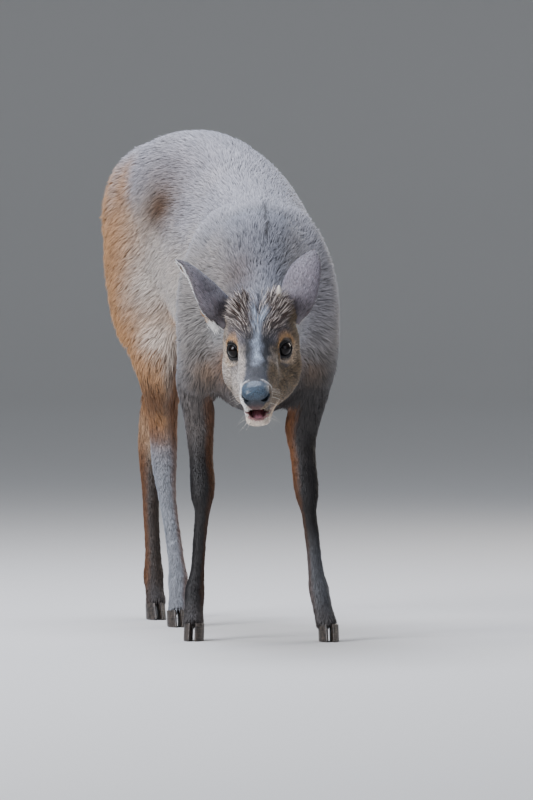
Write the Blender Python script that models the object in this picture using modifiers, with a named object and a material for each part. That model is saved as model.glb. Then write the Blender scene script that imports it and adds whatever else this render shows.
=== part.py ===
"""Red brocket, a slightly built young male, standing with lowered head.

A life-size solid model in metres, +Z up.  The animal faces -Y, its own left
side is +X, and its spine bends so that the hindquarters swing toward -X.
The soft body is modelled whole from lofts through cross-sections, melted
into one skin, and parted with thin cuts into the pieces a person would name.
"""
import bmesh
import bpy
import numpy as np
from mathutils import Matrix, Vector

# Driving sizes
GAP = 0.0003                 # clearance between two pieces that touch
EYE_RADIUS = 0.0125
EYE_OFFSET = 0.0325          # centre of the eyeball from the midline of the head
TAIL_LENGTH = 0.115
CLAW_LENGTH = 0.044
CLAW_WIDTH = 0.0138
CORONET_HEIGHT = 0.024       # where the horn of the hoof ends, at the toe
CORONET_FALL = 0.12          # slope of the coronet toward the heel
ANTLER_LENGTH = 0.021

# Detail of the skins
BODY_VOXEL = 0.0030
HEAD_VOXEL = 0.0013
BODY_TRIANGLES = 4300
HEAD_TRIANGLES = 2100
SOFTENED_ABOVE = (0.30, 0.42)    # the bulky body is softened, the thin legs are not
NECK_BASE = (-0.19, 0.06)        # from front to back, where neck and shoulders flow together
NECK_BASE_EDGE = 0.04

# Placing of the head: between the eyes, and how it is turned there
HEAD_AT = Vector((-0.0095, -0.330, 0.409))
HEAD_PITCH = np.radians(20.0)    # nose below the level
HEAD_YAW = np.radians(3.0)       # nose toward -X
HEAD_ROLL = np.radians(2.8)      # left eye higher

# Placing of the hips: the hindquarters are turned about the vertical
HIP_YAW = np.radians(28.0)
HIP_FORWARD = Vector((np.sin(HIP_YAW), -np.cos(HIP_YAW), 0.0))
HIP_LEFT = Vector((np.cos(HIP_YAW), np.sin(HIP_YAW), 0.0))
HIP_CENTRE = Vector((-0.135, 0.430, 0.0))

# Trunk sections: x, y, height of the back, height of the belly, half width
TRUNK = (
    (-0.012, -0.150, 0.512, 0.398, 0.040),
    (-0.012, -0.110, 0.556, 0.350, 0.073),
    (-0.011, -0.050, 0.598, 0.322, 0.094),
    (-0.011, 0.000, 0.611, 0.316, 0.099),
    (-0.014, 0.070, 0.628, 0.323, 0.098),
    (-0.023, 0.150, 0.654, 0.341, 0.101),
    (-0.042, 0.230, 0.684, 0.363, 0.103),
    (-0.072, 0.310, 0.709, 0.400, 0.097),
    (-0.107, 0.380, 0.716, 0.440, 0.089),
    (-0.140, 0.440, 0.708, 0.470, 0.082),
    (-0.170, 0.500, 0.686, 0.500, 0.068),
    (-0.194, 0.548, 0.650, 0.520, 0.042),
)

# Neck sections: x, y, z of the centre, half width, half height
NECK = (
    (-0.012, 0.030, 0.478, 0.094, 0.124),
    (-0.012, -0.060, 0.474, 0.090, 0.119),
    (-0.011, -0.130, 0.461, 0.071, 0.093),
    (-0.009, -0.190, 0.447, 0.053, 0.069),
    (-0.008, -0.250, 0.429, 0.044, 0.058),
    (-0.008, -0.300, 0.415, 0.038, 0.048),
)

# Head sections in the head's own axes: forward, top, underside, half width
SKULL = (
    (-0.088, 0.036, -0.045, 0.042),
    (-0.050, 0.047, -0.060, 0.051),
    (-0.025, 0.044, -0.066, 0.051),
    (0.000, 0.035, -0.064, 0.044),
    (0.025, 0.023, -0.057, 0.035),
    (0.050, 0.013, -0.049, 0.0280),
    (0.075, 0.007, -0.042, 0.0235),
    (0.100, 0.003, -0.038, 0.0215),
    (0.118, 0.000, -0.0365, 0.0210),
    (0.130, -0.003, -0.0360, 0.0190),
    (0.1375, -0.009, -0.0320, 0.0140),
)
JAW = (
    (-0.062, -0.036, -0.072, 0.036),
    (-0.030, -0.036, -0.079, 0.045),
    (0.000, -0.038, -0.077, 0.041),
    (0.025, -0.040, -0.072, 0.034),
    (0.050, -0.044, -0.068, 0.0240),
    (0.075, -0.049, -0.066, 0.0190),
    (0.100, -0.052, -0.065, 0.0168),
    (0.114, -0.053, -0.0645, 0.0150),
    (0.121, -0.056, -0.062, 0.0095),
)
LIPS = (
    (-0.030, -0.020, -0.072, 0.0470),
    (0.030, -0.020, -0.068, 0.0355),
    (0.060, -0.020, -0.063, 0.0255),
    (0.090, -0.020, -0.061, 0.0200),
    (0.108, -0.024, -0.0595, 0.0172),
    (0.116, -0.028, -0.0580, 0.0150),
)
MOUTH_CAVITY = (
    (0.060, -0.0455, -0.0490, 0.0080),
    (0.075, -0.0430, -0.0530, 0.0105),
    (0.095, -0.0400, -0.0560, 0.0120),
    (0.106, -0.0380, -0.0570, 0.0108),
    (0.114, -0.0365, -0.0545, 0.0108),
    (0.125, -0.0360, -0.0535, 0.0112),
    (0.150, -0.0360, -0.0535, 0.0116),
)
TONGUE = (
    (0.062, -0.0480, -0.0560, 0.0060),
    (0.078, -0.0490, -0.0570, 0.0085),
    (0.095, -0.0510, -0.0580, 0.0090),
    (0.107, -0.0530, -0.0590, 0.0075),
    (0.112, -0.0550, -0.0580, 0.0040),
)
MOUTH_CORNER = (0.058, -0.0475)     # forward, up
JAW_ANGLE = (-0.052, -0.056)
NOSE_CUT = 0.1165

# Shoulder and arm, then the lower foreleg: x, y, z, half width, half depth
SHOULDER = (
    (0.046, 0.020, 0.590, 0.016, 0.028),
    (0.062, 0.000, 0.550, 0.028, 0.052),
    (0.073, -0.025, 0.495, 0.037, 0.076),
    (0.077, -0.035, 0.440, 0.037, 0.080),
    (0.078, -0.022, 0.395, 0.034, 0.068),
)
SHOULDER_MIDLINE = -0.012
FORELEG_RIGHT = (
    (-0.0975, 0.000, 0.362, 0.0290, 0.048),
    (-0.0938, 0.008, 0.311, 0.0222, 0.030),
    (-0.0910, 0.002, 0.257, 0.0170, 0.021),
    (-0.0889, -0.004, 0.222, 0.0174, 0.019),
    (-0.0889, -0.005, 0.200, 0.0160, 0.018),
    (-0.0892, -0.002, 0.178, 0.0110, 0.0140),
    (-0.0924, 0.000, 0.145, 0.0095, 0.0125),
    (-0.0958, 0.003, 0.097, 0.0098, 0.0125),
    (-0.0993, 0.004, 0.070, 0.0135, 0.0165),
    (-0.1005, -0.006, 0.045, 0.0132, 0.0135),
    (-0.1010, -0.016, 0.024, 0.0145, 0.0165),
    (-0.1010, -0.021, 0.012, 0.0140, 0.0160),
)
FORELEG_LEFT = (
    (0.0620, -0.010, 0.362, 0.0300, 0.048),
    (0.0495, 0.000, 0.300, 0.0240, 0.030),
    (0.0505, -0.008, 0.260, 0.0178, 0.021),
    (0.0540, -0.016, 0.222, 0.0174, 0.019),
    (0.0562, -0.018, 0.202, 0.0160, 0.018),
    (0.0585, -0.016, 0.180, 0.0112, 0.0140),
    (0.0625, -0.015, 0.150, 0.0102, 0.0125),
    (0.0680, -0.014, 0.100, 0.0106, 0.0125),
    (0.0720, -0.014, 0.074, 0.0138, 0.0165),
    (0.0780, -0.024, 0.045, 0.0134, 0.0135),
    (0.0835, -0.034, 0.024, 0.0145, 0.0165),
    (0.0860, -0.039, 0.012, 0.0140, 0.0160),
)

# Thigh and lower hind leg: x, y, z, half width, half depth
THIGH_RIGHT = (
    (-0.147, 0.420, 0.668, 0.032, 0.066),
    (-0.165, 0.410, 0.620, 0.042, 0.096),
    (-0.172, 0.404, 0.560, 0.047, 0.108),
    (-0.170, 0.390, 0.500, 0.045, 0.105),
    (-0.166, 0.366, 0.450, 0.040, 0.090),
)
HINDLEG_RIGHT = (
    (-0.162, 0.352, 0.405, 0.0340, 0.066),
    (-0.156, 0.370, 0.352, 0.0265, 0.044),
    (-0.151, 0.402, 0.305, 0.0200, 0.029),
    (-0.1495, 0.425, 0.265, 0.0180, 0.0260),
    (-0.1480, 0.418, 0.232, 0.0168, 0.0220),
    (-0.1445, 0.400, 0.192, 0.0128, 0.0155),
    (-0.1385, 0.380, 0.150, 0.0108, 0.0130),
    (-0.1305, 0.356, 0.096, 0.0108, 0.0130),
    (-0.1276, 0.344, 0.067, 0.0135, 0.0165),
    (-0.1272, 0.332, 0.044, 0.0128, 0.0135),
    (-0.1278, 0.322, 0.024, 0.0142, 0.0165),
    (-0.1280, 0.317, 0.012, 0.0138, 0.0160),
)
THIGH_LEFT = (
    (-0.104, 0.452, 0.672, 0.036, 0.070),
    (-0.088, 0.462, 0.620, 0.044, 0.100),
    (-0.084, 0.464, 0.560, 0.047, 0.110),
    (-0.092, 0.456, 0.500, 0.045, 0.106),
    (-0.108, 0.446, 0.450, 0.040, 0.088),
)
HINDLEG_LEFT = (
    (-0.126, 0.452, 0.405, 0.0340, 0.064),
    (-0.148, 0.496, 0.352, 0.0260, 0.042),
    (-0.163, 0.545, 0.306, 0.0190, 0.029),
    (-0.170, 0.572, 0.268, 0.0170, 0.0260),
    (-0.1705, 0.568, 0.232, 0.0160, 0.0220),
    (-0.1700, 0.558, 0.190, 0.0126, 0.0155),
    (-0.1695, 0.548, 0.150, 0.0112, 0.0130),
    (-0.1668, 0.536, 0.096, 0.0112, 0.0130),
    (-0.1660, 0.530, 0.066, 0.0140, 0.0165),
    (-0.1640, 0.518, 0.044, 0.0132, 0.0135),
    (-0.1618, 0.508, 0.024, 0.0142, 0.0165),
    (-0.1612, 0.503, 0.012, 0.0138, 0.0160),
)

# Each foot: middle of the pair of claws, heading of the toes in degrees
# toward +X, and the fetlock the dewclaws sit behind
FEET = {
    "fore_left": ((0.0865, -0.040), 6.0, (0.0735, -0.014, 0.066)),
    "fore_right": ((-0.1010, -0.022), -6.0, (-0.0993, 0.004, 0.062)),
    "hind_left": ((-0.1610, 0.502), 14.0, (-0.1655, 0.530, 0.058)),
    "hind_right": ((-0.1280, 0.316), 10.0, (-0.1275, 0.344, 0.059)),
}

# Tail: root, and the direction it hangs from there
TAIL_ROOT = Vector((-0.203, 0.560, 0.628))

# Tail sections: share of the length from the root, half width, half depth
TAIL = (
    (-0.10, 0.016, 0.014),
    (0.12, 0.017, 0.012),
    (0.40, 0.016, 0.009),
    (0.65, 0.010, 0.006),
    (0.80, 0.002, 0.002),
)
TAIL_BEND = 0.020
TAIL_LOCKS = 14

# Rump behind the hips, and the point of each hock
RUMP_AT = (0.045, 0.585)            # behind the hips, height
RUMP_SIZE = (0.088, 0.075, 0.118)
HOCK_POINTS = (((-0.1492, 0.430, 0.300), 0.62), ((-0.1705, 0.573, 0.311), 0.90))    # and lean of its tendon
HOCK_SIZE = (0.0100, 0.0105, 0.040)

# Rounded forms of the head, a pair of each: forward, outward, up, and three radii
HEAD_FORMS = {
    "cheek": ((-0.024, 0.034, -0.034), (0.036, 0.020, 0.034)),
    "orbit": ((-0.002, 0.029, 0.003), (0.023, 0.0150, 0.0185)),
    "eyelids": ((0.000, EYE_OFFSET, 0.000), (EYE_RADIUS + 0.0026,) * 3),
    "ear_root": ((-0.062, 0.034, 0.018), (0.024, 0.015, 0.021)),
    "nostril_wing": ((0.121, 0.0125, -0.019), (0.0125, 0.0085, 0.0125)),
}
PEDICLE = ((-0.038, 0.022, 0.0395), (0.027, 0.0125, 0.0115))
PEDICLE_SLOPE = 0.42                # fall of the pedicle's ridge toward the nose
ANTLER_ROOT = (-0.050, 0.0265, 0.050)
ANTLER_SECTIONS = ((0, 0.0042), (0.5, 0.0036), (0.85, 0.0022), (1.0, 0.0009))

# Openings of the head: where each eye looks, the slit of the lids, the nostril
EYE_LOOK = (0.46, 0.88, 0.06)       # forward, outward, up
LIDS_AHEAD = 0.0120
LIDS_SIZE = (0.0125, 0.0095, 0.0098)
NOSTRIL_AT = (0.1325, 0.0125, -0.0195)
NOSTRIL_SIZE = (0.0062, 0.0042, 0.0034)
MOUTH_SLIT = ((MOUTH_CORNER[0], -0.0004, 0.0004), (0.150, -0.0018, 0.0012))
MOUTH_RISE = 0.055

# Tuft on the crown: rows of locks, each with its place forward and outward
# on the head, and its length
CROWN_LOCKS = 25
CROWN_REACH = (-0.062, 0.004)       # rear and front edge of the tuft
CROWN_HALF_WIDTH = (0.033, 0.011)   # at the rear and at the front edge
CROWN_LENGTH = (0.027, 0.020)

# Dewclaw sections: share of its length, half width, half depth
DEWCLAW = ((0, 0.0036, 0.0042), (0.45, 0.0042, 0.0046), (0.8, 0.0034, 0.0036), (1, 0.0016, 0.0016))

# Ears: root, tip, and the way the cup opens, then half widths along the leaf
EARS = {
    "ear_left": (Vector((0.038, -0.268, 0.447)), Vector((0.064, -0.218, 0.541)),
                 Vector((0.35, 0.85, -0.10))),
    "ear_right": (Vector((-0.056, -0.270, 0.442)), Vector((-0.124, -0.236, 0.528)),
                  Vector((-0.55, 0.62, -0.40))),
}
EAR_LEAF = (
    (-0.05, 0.0080), (0.03, 0.0115), (0.12, 0.0190), (0.26, 0.0250), (0.45, 0.0265),
    (0.68, 0.0230), (0.83, 0.0165), (0.94, 0.0085), (1.00, 0.0012),
)
EAR_WALL = 0.0024
EAR_BEND = 0.010
EAR_TWIST = {"ear_left": 0.0, "ear_right": -0.9}        # turn of the blade from root to tip
EAR_TWIST_REACH = (0.25, 0.85)      # shares of the length where the turn starts and ends

COAT = {
    "back": (0.235, 0.205, 0.180),
    "flank": (0.300, 0.240, 0.180),
    "leg": (0.125, 0.100, 0.085),
    "face": (0.200, 0.175, 0.150),
    "ear": (0.150, 0.130, 0.140),
    "horn": (0.030, 0.026, 0.024),
    "eye": (0.012, 0.009, 0.008),
    "nose": (0.010, 0.012, 0.016),
    "tongue": (0.480, 0.170, 0.160),
    "bone": (0.780, 0.740, 0.640),
}

# Collections


def clear_scene():
    """Empty the scene of objects."""
    for found in list(bpy.data.objects):
        bpy.data.objects.remove(found, do_unlink=True)


def new_collection(name):
    """Add a collection under the scene."""
    made = bpy.data.collections.new(name)
    bpy.context.scene.collection.children.link(made)
    return made


clear_scene()
PARTS = new_collection("red_brocket")
CUTTERS = new_collection("brocket_cutters")

# The head's own axes


def head_axes():
    """Forward, left and up of the head, turned by yaw, pitch and roll."""
    level = Vector((-np.sin(HEAD_YAW), -np.cos(HEAD_YAW), 0.0))
    forward = level * np.cos(HEAD_PITCH) - Vector((0, 0, 1)) * np.sin(HEAD_PITCH)
    left = Vector((0, 0, 1)).cross(level)
    up = forward.cross(left)
    return (
        forward,
        left * np.cos(HEAD_ROLL) + up * np.sin(HEAD_ROLL),
        up * np.cos(HEAD_ROLL) - left * np.sin(HEAD_ROLL),
    )


FORWARD, LEFT, UP = head_axes()


def on_head(forward, left, up):
    """A point given in the head's own axes."""
    return HEAD_AT + FORWARD * forward + LEFT * left + UP * up


# Lofts and primitives


def smooth_rows(rows, steps):
    """Catmull-Rom rows through a table of sections, column by column."""
    table = np.asarray(rows, dtype=float)
    padded = np.vstack([2 * table[0] - table[1], table, 2 * table[-1] - table[-2]])
    before, start, end, after = (padded[i:len(padded) - 3 + i, None] for i in range(4))
    t = (np.arange(steps) / steps)[None, :, None]
    curve = 0.5 * (2 * start + (end - before) * t
                   + (2 * before - 5 * start + 4 * end - after) * t ** 2
                   + (3 * start - before - 3 * end + after) * t ** 3)
    return np.vstack([curve.reshape(-1, table.shape[1]), table[-1]])


def oval(sides, upper_power, lower_power):
    """Unit superellipse, squarer or rounder above and below its middle."""
    angle = 2 * np.pi * np.arange(sides) / sides
    power = np.where(np.sin(angle) > 0, upper_power, lower_power)
    cos, sin = np.cos(angle), np.sin(angle)
    return (np.sign(cos) * np.abs(cos) ** (2 / power),
            np.sign(sin) * np.abs(sin) ** (2 / power))


def unit(vectors):
    """Rows scaled to length one."""
    return vectors / np.linalg.norm(vectors, axis=-1, keepdims=True)


def solid_from(name, points, faces, collection):
    """Closed mesh object whose faces point out."""
    mesh = bpy.data.meshes.new(name)
    mesh.from_pydata([tuple(point) for point in points], [], faces)
    shape = bmesh.new()
    shape.from_mesh(mesh)
    bmesh.ops.recalc_face_normals(shape, faces=shape.faces)
    shape.to_mesh(mesh)
    shape.free()
    made = bpy.data.objects.new(name, mesh)
    collection.objects.link(made)
    return made


def loft(name, rings, collection=None):
    """Closed solid through rings of points, with a fan over each end."""
    rings = np.asarray(rings)
    count, sides = rings.shape[:2]
    ends = np.stack([rings[0].mean(axis=0), rings[-1].mean(axis=0)])
    points = np.vstack([rings.reshape(-1, 3), ends])
    first, last = count * sides, count * sides + 1
    faces = []
    for side in range(sides):
        after = (side + 1) % sides
        for row in range(0, (count - 1) * sides, sides):
            faces.append((row + side, row + after, row + sides + after, row + sides + side))
        faces.append((first, after, side))
        faces.append((last, (count - 1) * sides + side, (count - 1) * sides + after))
    return solid_from(name, points, faces, collection or CUTTERS)


def trunk_loft(name, rows, sides=32, steps=5):
    """Body loft whose sections stand upright across its path."""
    table = smooth_rows(rows, steps)
    path = table[:, :2]
    heading = unit(np.gradient(path, axis=0))
    across = np.column_stack([-heading[:, 1], heading[:, 0], np.zeros(len(table))])
    centre = np.column_stack([path, (table[:, 2] + table[:, 3]) / 2])
    half_height = (table[:, 2] - table[:, 3]) / 2
    x, z = oval(sides, 2.15, 2.1)
    rings = (centre[:, None] + across[:, None] * (table[:, 4, None] * x)[..., None]
             + np.array([0, 0, 1.0]) * (half_height[:, None] * z)[..., None])
    return loft(name, rings)


def limb_loft(name, rows, side, sides=20, steps=4, power=2.1):
    """Limb loft whose sections lie square to its path."""
    table = smooth_rows(rows, steps)
    along = unit(np.gradient(table[:, :3], axis=0))
    side = np.asarray(side, dtype=float)
    across = unit(side - along * (along @ side)[:, None])
    depth = np.cross(along, across)
    x, y = oval(sides, power, power)
    rings = (table[:, None, :3] + across[:, None] * (table[:, 3, None] * x)[..., None]
             + depth[:, None] * (table[:, 4, None] * y)[..., None])
    return loft(name, rings)


def head_loft(name, rows, sides=28, steps=4, upper_power=2.2, lower_power=2.4, collection=None):
    """Head loft from forward, top, underside and half width."""
    table = smooth_rows(rows, steps)
    x, y = oval(sides, upper_power, lower_power)
    middle = (table[:, 1] + table[:, 2]) / 2
    half_height = (table[:, 1] - table[:, 2]) / 2
    left = table[:, 3, None] * x
    up = middle[:, None] + half_height[:, None] * y
    rings = (np.array(HEAD_AT) + np.array(FORWARD) * table[:, 0, None, None]
             + np.array(LEFT) * left[..., None] + np.array(UP) * up[..., None])
    return loft(name, rings, collection)


def ball(name, centre, radii, axes=None, segments=24, rings=12, collection=None):
    """Ellipsoid from a sphere primitive, along three axes of its own."""
    mesh = bpy.data.meshes.new(name)
    shape = bmesh.new()
    bmesh.ops.create_uvsphere(shape, u_segments=segments, v_segments=rings, radius=1.0)
    turn = Matrix(axes).transposed().to_4x4() if axes else Matrix.Identity(4)
    place = Matrix.Translation(centre) @ turn @ Matrix.Diagonal((*radii, 1.0))
    bmesh.ops.transform(shape, matrix=place, verts=shape.verts)
    shape.to_mesh(mesh)
    shape.free()
    made = bpy.data.objects.new(name, mesh)
    (collection or CUTTERS).objects.link(made)
    return made


def block(name, centre, size, axes=None):
    """Box from a cube primitive, along three axes of its own."""
    mesh = bpy.data.meshes.new(name)
    shape = bmesh.new()
    bmesh.ops.create_cube(shape, size=1.0)
    turn = Matrix(axes).transposed().to_4x4() if axes else Matrix.Identity(4)
    place = Matrix.Translation(centre) @ turn @ Matrix.Diagonal((*size, 1.0))
    bmesh.ops.transform(shape, matrix=place, verts=shape.verts)
    shape.to_mesh(mesh)
    shape.free()
    made = bpy.data.objects.new(name, mesh)
    CUTTERS.objects.link(made)
    return made


def across_plane(name, point, normal, width=0.6, thickness=GAP):
    """Thin square sheet whose faces look along the normal."""
    normal = Vector(normal).normalized()
    first = normal.orthogonal().normalized()
    return block(name, point, (width, width, thickness), (first, normal.cross(first), normal))


# Mesh work


def remove(made):
    """Delete an object that has done its work."""
    bpy.data.objects.remove(made, do_unlink=True)


def evaluate(made):
    """Replace an object's mesh by the one its modifiers give."""
    graph = bpy.context.evaluated_depsgraph_get()
    graph.update()
    mesh = bpy.data.meshes.new_from_object(made.evaluated_get(graph))
    made.modifiers.clear()
    made.data = mesh


def combine(name, pieces, operation, solver="EXACT"):
    """Boolean of the first piece with each of the others."""
    target = pieces[0]
    for other in pieces[1:]:
        change = target.modifiers.new(name, "BOOLEAN")
        change.operation = operation
        change.solver = solver
        change.object = other
        evaluate(target)
    return target


def cut(target, cutter, keep_cutter=False):
    """Take the cutter's volume from the target."""
    combine("cut", [target, cutter], "DIFFERENCE")
    if not keep_cutter:
        remove(cutter)


def copy_of(made, name, collection=None):
    """Separate copy of an object and its mesh."""
    twin = made.copy()
    twin.data = made.data.copy()
    twin.name = name
    (collection or CUTTERS).objects.link(twin)
    return twin


def grown(made, amount=GAP):
    """Copy of a piece, larger by the clearance all round."""
    twin = copy_of(made, made.name + "_room")
    shape = bmesh.new()
    shape.from_mesh(twin.data)
    shape.normal_update()
    offsets = [vertex.normal * vertex.calc_shell_factor() * amount for vertex in shape.verts]
    for vertex, offset in zip(shape.verts, offsets):
        vertex.co += offset
    shape.to_mesh(twin.data)
    shape.free()
    return twin


def make_room(host, piece):
    """Pocket in the host that holds the root of a piece with its clearance."""
    cut(host, grown(piece))


def all_points(made):
    """A mesh object's points as rows of x, y, z."""
    points = np.empty(len(made.data.vertices) * 3)
    made.data.vertices.foreach_get("co", points)
    return points.reshape(-1, 3)


def melt(name, pieces, voxel, rounds):
    """One smooth skin around overlapping closed pieces."""
    shape = bmesh.new()
    for piece in pieces:
        shape.from_mesh(piece.data)
        remove(piece)
    mesh = bpy.data.meshes.new(name)
    shape.to_mesh(mesh)
    shape.free()
    made = bpy.data.objects.new(name, mesh)
    CUTTERS.objects.link(made)
    change = made.modifiers.new("melt", "REMESH")
    change.mode = "VOXEL"
    change.voxel_size = voxel
    evaluate(made)
    relax(made, (0.55, -0.50) * rounds)
    return made


def relax(made, strengths, share=None):
    """Pull each point toward its neighbours' mean, once for each strength."""
    mesh = made.data
    points = all_points(made)
    edges = np.empty(len(mesh.edges) * 2, dtype=np.int64)
    mesh.edges.foreach_get("vertices", edges)
    one, two = edges.reshape(-1, 2).T
    degree = np.bincount(edges, minlength=len(points))[:, None]
    share = 1.0 if share is None else share[:, None]
    for strength in strengths:
        total = np.zeros_like(points)
        for axis in range(3):
            total[:, axis] = (np.bincount(one, points[two, axis], len(points))
                              + np.bincount(two, points[one, axis], len(points)))
        points = points + strength * share * (total / degree - points)
    mesh.vertices.foreach_set("co", points.ravel())
    mesh.update()


def thin_out(made, triangles, weight=None):
    """Fewer triangles, spent where the surface bends and the weight is high."""
    change = made.modifiers.new("thin", "DECIMATE")
    made_of = sum(len(face.vertices) - 2 for face in made.data.polygons)
    change.ratio = triangles / made_of
    change.use_collapse_triangulate = True
    if weight is not None:
        group = made.vertex_groups.new(name="detail")
        for level in np.unique(weight):
            group.add(np.nonzero(weight == level)[0].tolist(), float(level), "REPLACE")
        change.vertex_group = group.name
        change.invert_vertex_group = True
        change.vertex_group_factor = 1.0
    evaluate(made)
    made.vertex_groups.clear()


def islands(made):
    """Split an object into its closed surfaces, dropping scraps."""
    mesh = made.data
    parent = np.arange(len(mesh.vertices))
    edges = np.empty(len(mesh.edges) * 2, dtype=np.int64)
    mesh.edges.foreach_get("vertices", edges)
    one, two = edges.reshape(-1, 2).T
    while True:
        low = np.minimum(parent[one], parent[two])
        before = parent.copy()
        np.minimum.at(parent, one, low)
        np.minimum.at(parent, two, low)
        parent = parent[parent]
        if np.array_equal(parent, before):
            break
    pieces = []
    for root in np.unique(parent):
        shape = bmesh.new()
        shape.from_mesh(mesh)
        shape.verts.ensure_lookup_table()
        gone = [shape.verts[i] for i in np.nonzero(parent != root)[0]]
        bmesh.ops.delete(shape, geom=gone, context="VERTS")
        if shape.faces and shape.calc_volume(signed=True) > 1e-7:
            part = bpy.data.meshes.new(made.name)
            shape.to_mesh(part)
            piece = bpy.data.objects.new(made.name + "_piece", part)
            CUTTERS.objects.link(piece)
            pieces.append(piece)
        shape.free()
    remove(made)
    return sorted(pieces, key=volume, reverse=True)


def volume(made):
    """Volume inside a closed mesh."""
    shape = bmesh.new()
    shape.from_mesh(made.data)
    amount = shape.calc_volume(signed=True)
    shape.free()
    return amount


def largest(made):
    """Keep only the largest closed surface of a piece."""
    pieces = islands(made)
    for scrap in pieces[1:]:
        remove(scrap)
    return pieces[0]


def middle(made):
    """Mean of a piece's points."""
    return all_points(made).mean(axis=0)


def finish(made, name, look, roughness=0.85):
    """Name a piece, give it its material and put it with the parts."""
    made.name = name
    made.data.name = name
    shape = bmesh.new()
    shape.from_mesh(made.data)
    bmesh.ops.remove_doubles(shape, verts=shape.verts, dist=1e-6)
    bmesh.ops.dissolve_degenerate(shape, dist=1e-6, edges=shape.edges)
    bmesh.ops.triangulate(shape, faces=[face for face in shape.faces if len(face.verts) > 4])
    shape.to_mesh(made.data)
    shape.free()
    skin = bpy.data.materials.get(look) or bpy.data.materials.new(look)
    skin.use_nodes = True
    surface = skin.node_tree.nodes["Principled BSDF"]
    surface.inputs["Base Color"].default_value = (*COAT[look], 1.0)
    surface.inputs["Roughness"].default_value = roughness
    surface.inputs["Metallic"].default_value = 0.0
    skin.diffuse_color = (*COAT[look], 1.0)
    made.data.materials.clear()
    made.data.materials.append(skin)
    made.data.shade_smooth()
    made.data.set_sharp_from_angle(angle=np.radians(50))
    for holder in list(made.users_collection):
        holder.objects.unlink(made)
    PARTS.objects.link(made)
    return made


# The soft body, whole


def whole_body():
    """Trunk, neck and legs melted into one skin."""
    shoulders = []
    for sign in (-1, 1):
        rows = [(SHOULDER_MIDLINE + sign * x, y, z, wide, deep) for x, y, z, wide, deep in SHOULDER]
        lower = FORELEG_LEFT if sign > 0 else FORELEG_RIGHT
        shoulders.append(limb_loft("foreleg", rows + list(lower), (1, 0, 0)))
    hind = [limb_loft("hindleg", THIGH_RIGHT + HINDLEG_RIGHT, HIP_LEFT),
            limb_loft("hindleg", THIGH_LEFT + HINDLEG_LEFT, HIP_LEFT)]
    behind, height = RUMP_AT
    rump = ball("rump", HIP_CENTRE + Vector((0, 0, height)) - HIP_FORWARD * behind,
                RUMP_SIZE, (HIP_LEFT, -HIP_FORWARD, Vector((0, 0, 1))))
    pieces = [trunk_loft("trunk", TRUNK), limb_loft("neck", NECK, (1, 0, 0), sides=28), rump]
    hocks = [ball("hock", point, HOCK_SIZE, (Vector((1, 0, 0)), Vector((0, 1, lean)).normalized(),
                                             Vector((0, -lean, 1)).normalized()))
             for point, lean in HOCK_POINTS]
    body = melt("body", pieces + shoulders + hind + hocks, BODY_VOXEL, 14)
    low, high = SOFTENED_ABOVE
    share = np.clip((all_points(body)[:, 2] - low) / (high - low), 0, 1)
    relax(body, (0.5,) * 60, share)
    front, back = NECK_BASE
    y, z = all_points(body)[:, 1:].T
    share = np.clip((y - front) / NECK_BASE_EDGE, 0, 1) * np.clip((back - y) / NECK_BASE_EDGE, 0, 1)
    relax(body, (0.50, -0.505) * 110, share * np.clip((z - low) / (high - low), 0, 1))
    weight = np.where(all_points(body)[:, 2] < low, 0.75, 0.35)
    thin_out(body, BODY_TRIANGLES, weight)
    return body


# Locks of longer hair


def lock(root, lie, face, length, width, bend):
    """Flat tapered lock: its root is sunk, its tip bends toward the bend vector."""
    lie = lie.normalized()
    rows = []
    for share, wide in ((-0.30, 0.8), (0.10, 1.0), (0.45, 0.82), (0.78, 0.45), (1.0, 0.07)):
        place = root + lie * length * share + bend * max(share, 0) ** 2
        rows.append((*place, width * wide, width * wide * 0.42))
    across = lie.cross(face).normalized()
    return limb_loft("lock", rows, across, sides=6, steps=1, power=2.0)


def fuse(host, locks):
    """Join the locks to their host in one union."""
    holder = new_collection("locks")
    for made in locks:
        CUTTERS.objects.unlink(made)
        holder.objects.link(made)
    change = host.modifiers.new("fuse", "BOOLEAN")
    change.operation = "UNION"
    change.solver = "EXACT"
    change.operand_type = "COLLECTION"
    change.collection = holder
    evaluate(host)
    for made in locks:
        remove(made)
    bpy.data.collections.remove(holder)
    return largest(host)


def crown_locks(head):
    """Tuft of the crown, fanned up and out from the middle of the forehead."""
    draw = np.random.default_rng(7)
    golden = 0.618034
    rear, front = CROWN_REACH
    locks = []
    for index in range(CROWN_LOCKS):
        share = (index + 0.5) / CROWN_LOCKS
        side = 2 * ((index * golden) % 1.0) - 1
        forward = rear + (front - rear) * share
        half = CROWN_HALF_WIDTH[0] + (CROWN_HALF_WIDTH[1] - CROWN_HALF_WIDTH[0]) * share
        length = CROWN_LENGTH[0] + (CROWN_LENGTH[1] - CROWN_LENGTH[0]) * share
        found, point, normal, _ = head.ray_cast(on_head(forward, side * half, 0.10), -UP)
        if not found:
            continue
        lie = -FORWARD * 0.78 + LEFT * side * 0.34 + normal * draw.uniform(0.36, 0.56)
        locks.append(lock(point, lie, normal, length * draw.uniform(0.85, 1.15),
                          draw.uniform(0.0036, 0.0048), -FORWARD * 0.004 - UP * 0.003))
    return locks


# The head, whole


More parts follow.
